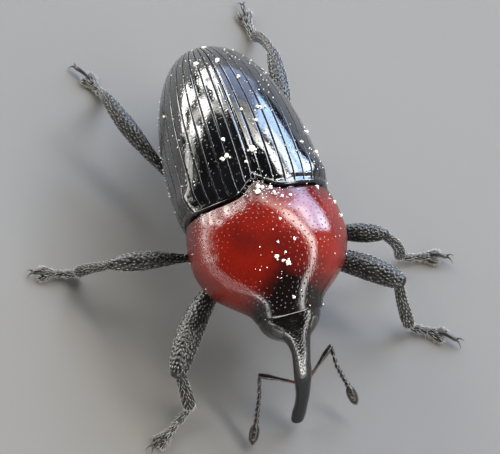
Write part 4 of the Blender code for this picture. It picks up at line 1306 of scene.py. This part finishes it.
def slab(value, low, high, soft):
    """1 between low and high, soft at both ends"""
    return times(step_up(value, low - soft, low + soft), minus(1.0, step_up(value, high - soft, high + soft)))


def sky_noise(size, detail):
    """noise over the sky, from about -0.5 to 0.5"""
    made = node(sky, "ShaderNodeTexNoise", (("Scale", size), ("Detail", detail), ("Vector", direction)))
    return minus(made.outputs["Fac"], 0.5)


# %% Light: degrees round and up, and the winding band
east, north, above = node(sky, "ShaderNodeSeparateXYZ", ((0, direction),)).outputs
round_sky = times(compute(sky, "ARCTAN2", east, north), 180 / math.pi)
up_sky = times(compute(sky, "ARCSINE", above), 180 / math.pi)
ragged = plus(up_sky, times(sky_noise(6.0, 4.0), 22.0))
uneven = plus(up_sky, times(sky_noise(3.0, 2.0), 8.0))
BAND_MIDDLE, BAND_SWING, BAND_TOWARD, BAND_LOWEST = 22.0, 36.0, 60.0, 4.0
swing = compute(sky, "COSINE", times(minus(round_sky, BAND_TOWARD), math.pi / 180))
from_band = minus(uneven, compute(sky, "MAXIMUM", plus(times(swing, BAND_SWING), BAND_MIDDLE), BAND_LOWEST))
band, thin_band = slab(from_band, -6.0, 5.0, 1.5), slab(from_band, -3.0, 3.4, 1.2)
clouds = step_up(sky_noise(4.5, 4.0), -0.05, 0.02)
thin_clouds = step_up(sky_noise(9.0, 4.0), -0.03, 0.06)


def window(first, last, low, high, soft, height):
    """a soft-edged rectangle of sky, in degrees round and degrees up"""
    return times(slab(round_sky, first, last, soft), slab(height, low, high, soft))


# %% Light: the patches of the sky
# where it shines, its colour and its strength
LIGHTS = (
    (times(band, slab(round_sky, 38, 124, 10)), (1.0, 0.98, 0.93), 17.0),
    (times(band, slab(round_sky, 124, 158, 8)), (1.0, 0.97, 0.94), 12.0),
    (times(band, slab(round_sky, 0, 38, 8)), (1.0, 0.97, 0.86), 5.0),
    (times(thin_band, slab(round_sky, -70, 0, 8)), (1.0, 0.97, 0.93), 6.0),
    (times(thin_band, slab(round_sky, -150, -70, 8)), (1.0, 0.95, 0.92), 7.0),
    (times(minus(1.0, slab(round_sky, -148, 148, 8)), slab(uneven, -1, 7.5, 2)), (1.0, 0.99, 0.97), 17.0),
    (times(window(-44, 4, -8, 33, 3.0, ragged), clouds), (1.0, 0.99, 0.94), 17.0),
    (window(12, 38, 34, 48, 3.0, ragged), (1.0, 0.98, 0.88), 3.5),
    (window(36, 80, 12, 45, 3.5, up_sky), (0.48, 0.68, 1.0), 12.0),
    (window(46, 80, 33, 46, 3.0, up_sky), (1.0, 0.95, 0.85), 7.0),
    (window(66, 79, 7, 26, 2.5, up_sky), (0.9, 0.97, 1.0), 9.0),
    (window(4, 36, -10, 30, 4.0, uneven), (0.50, 0.62, 0.95), 3.0),
    (times(window(-84, -44, -10, 24, 5.0, ragged), thin_clouds), (0.95, 0.95, 0.86), 5.0),
    (window(84, 140, -10, 30, 8.0, uneven), (1.0, 0.82, 0.70), 0.6),
    (step_up(up_sky, -90, 90), (1.0, 1.0, 1.02), 0.02),
)
total = [0.0, 0.0, 0.0]
for weight, colour, strength in LIGHTS:
    light = [c * strength for c in colour]
    tinted = node(sky, "ShaderNodeVectorMath", ((0, light), ("Scale", weight)), operation="SCALE")
    added = node(sky, "ShaderNodeVectorMath", ((0, total), (1, tinted.outputs[0])), operation="ADD")
    total = added.outputs[0]
feed(sky, total, sky.nodes["Background"].inputs["Color"])
print("patches of sky", len(LIGHTS))

# %% Light: a soft lamp overhead
# It lights the dull surfaces and the floor from above. The shells don't mirror it.
lamp_data = bpy.data.lights.new("overhead", "AREA")
lamp_data.shape = "DISK"
lamp_data.size = 30 * MM
lamp_data.energy = 0.0006
lamp_data.color = (1.0, 0.98, 0.95)
lamp = bpy.data.objects.new("overhead", lamp_data)
bpy.context.scene.collection.objects.link(lamp)
lamp.location = (-6 * MM, -4 * MM, 34 * MM)
lamp.rotation_euler = Vector((6, 4, -34)).to_track_quat("-Z", "Y").to_euler()
lamp.visible_glossy = False
print("lamp at", [round(v / MM) for v in lamp.location], "mm")

# %% [markdown]
# The camera was fitted to the beetle's landmarks. It looks down at 60 degrees from in front, and a
# long lens stands for the close-up lens of the photo. The landmarks gave where a known point falls
# in the picture, so the camera is turned a little until it falls there.

# %% Camera: directions
AZIMUTH, ELEVATION, ROLL = -14.707, 59.786, -1.784
DISTANCE = 30.0
PIXELS_PER_MM = 79.887
AIM = np.array([0.0, 0.3, 1.2])
AIM_PIXEL = (251.604, 203.663)
IMAGE = (500, 454)
azimuth, elevation, roll = (math.radians(v) for v in (AZIMUTH, ELEVATION, ROLL))
back = np.array([math.sin(azimuth) * math.cos(elevation), -math.cos(azimuth) * math.cos(elevation),
                 math.sin(elevation)])
right = np.array([math.cos(azimuth), math.sin(azimuth), 0.0])
up = np.cross(back, right)
right, up = right * math.cos(roll) + up * math.sin(roll), up * math.cos(roll) - right * math.sin(roll)
focal = PIXELS_PER_MM * DISTANCE
forward = unit(-back + right * (IMAGE[0] / 2 - AIM_PIXEL[0]) / focal
               - up * (IMAGE[1] / 2 - AIM_PIXEL[1]) / focal)
right = unit(right - forward * right.dot(forward))
up = np.cross(right, forward)
print("camera looks along", forward.round(3))

# %% Camera
SENSOR = 36.0
camera_data = bpy.data.cameras.new("camera")
camera_data.sensor_width = SENSOR
camera_data.lens = focal * SENSOR / IMAGE[0]
camera_data.clip_start = 0.001
camera_data.clip_end = 1.0
camera = bpy.data.objects.new("camera", camera_data)
bpy.context.scene.collection.objects.link(camera)
turned = Matrix((right, up, -forward)).transposed().to_4x4()
turned.translation = Vector((AIM + back * DISTANCE + ZERO) * MM)
camera.matrix_world = turned
bpy.context.scene.camera = camera
print("camera", [round(v / MM, 1) for v in turned.translation], "mm, lens", round(camera_data.lens))

# %% [markdown]
# Blender's usual view transform softens strong light, which turns deep blacks hazy. The standard
# one keeps the hard contrast between black shell and mirrored sky.

# %% Contrast
bpy.context.scene.view_settings.view_transform = "Standard"
print("view transform", bpy.context.scene.view_settings.view_transform)

# %% Size of the dressed beetle, and its number of faces and pieces
low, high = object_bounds()
print("faces", sum(len(thing.data.polygons) for thing in pieces.values()), "in", len(pieces), "pieces")
print("dressed", [round(v / MM, 3) for v in (*low, *high)])
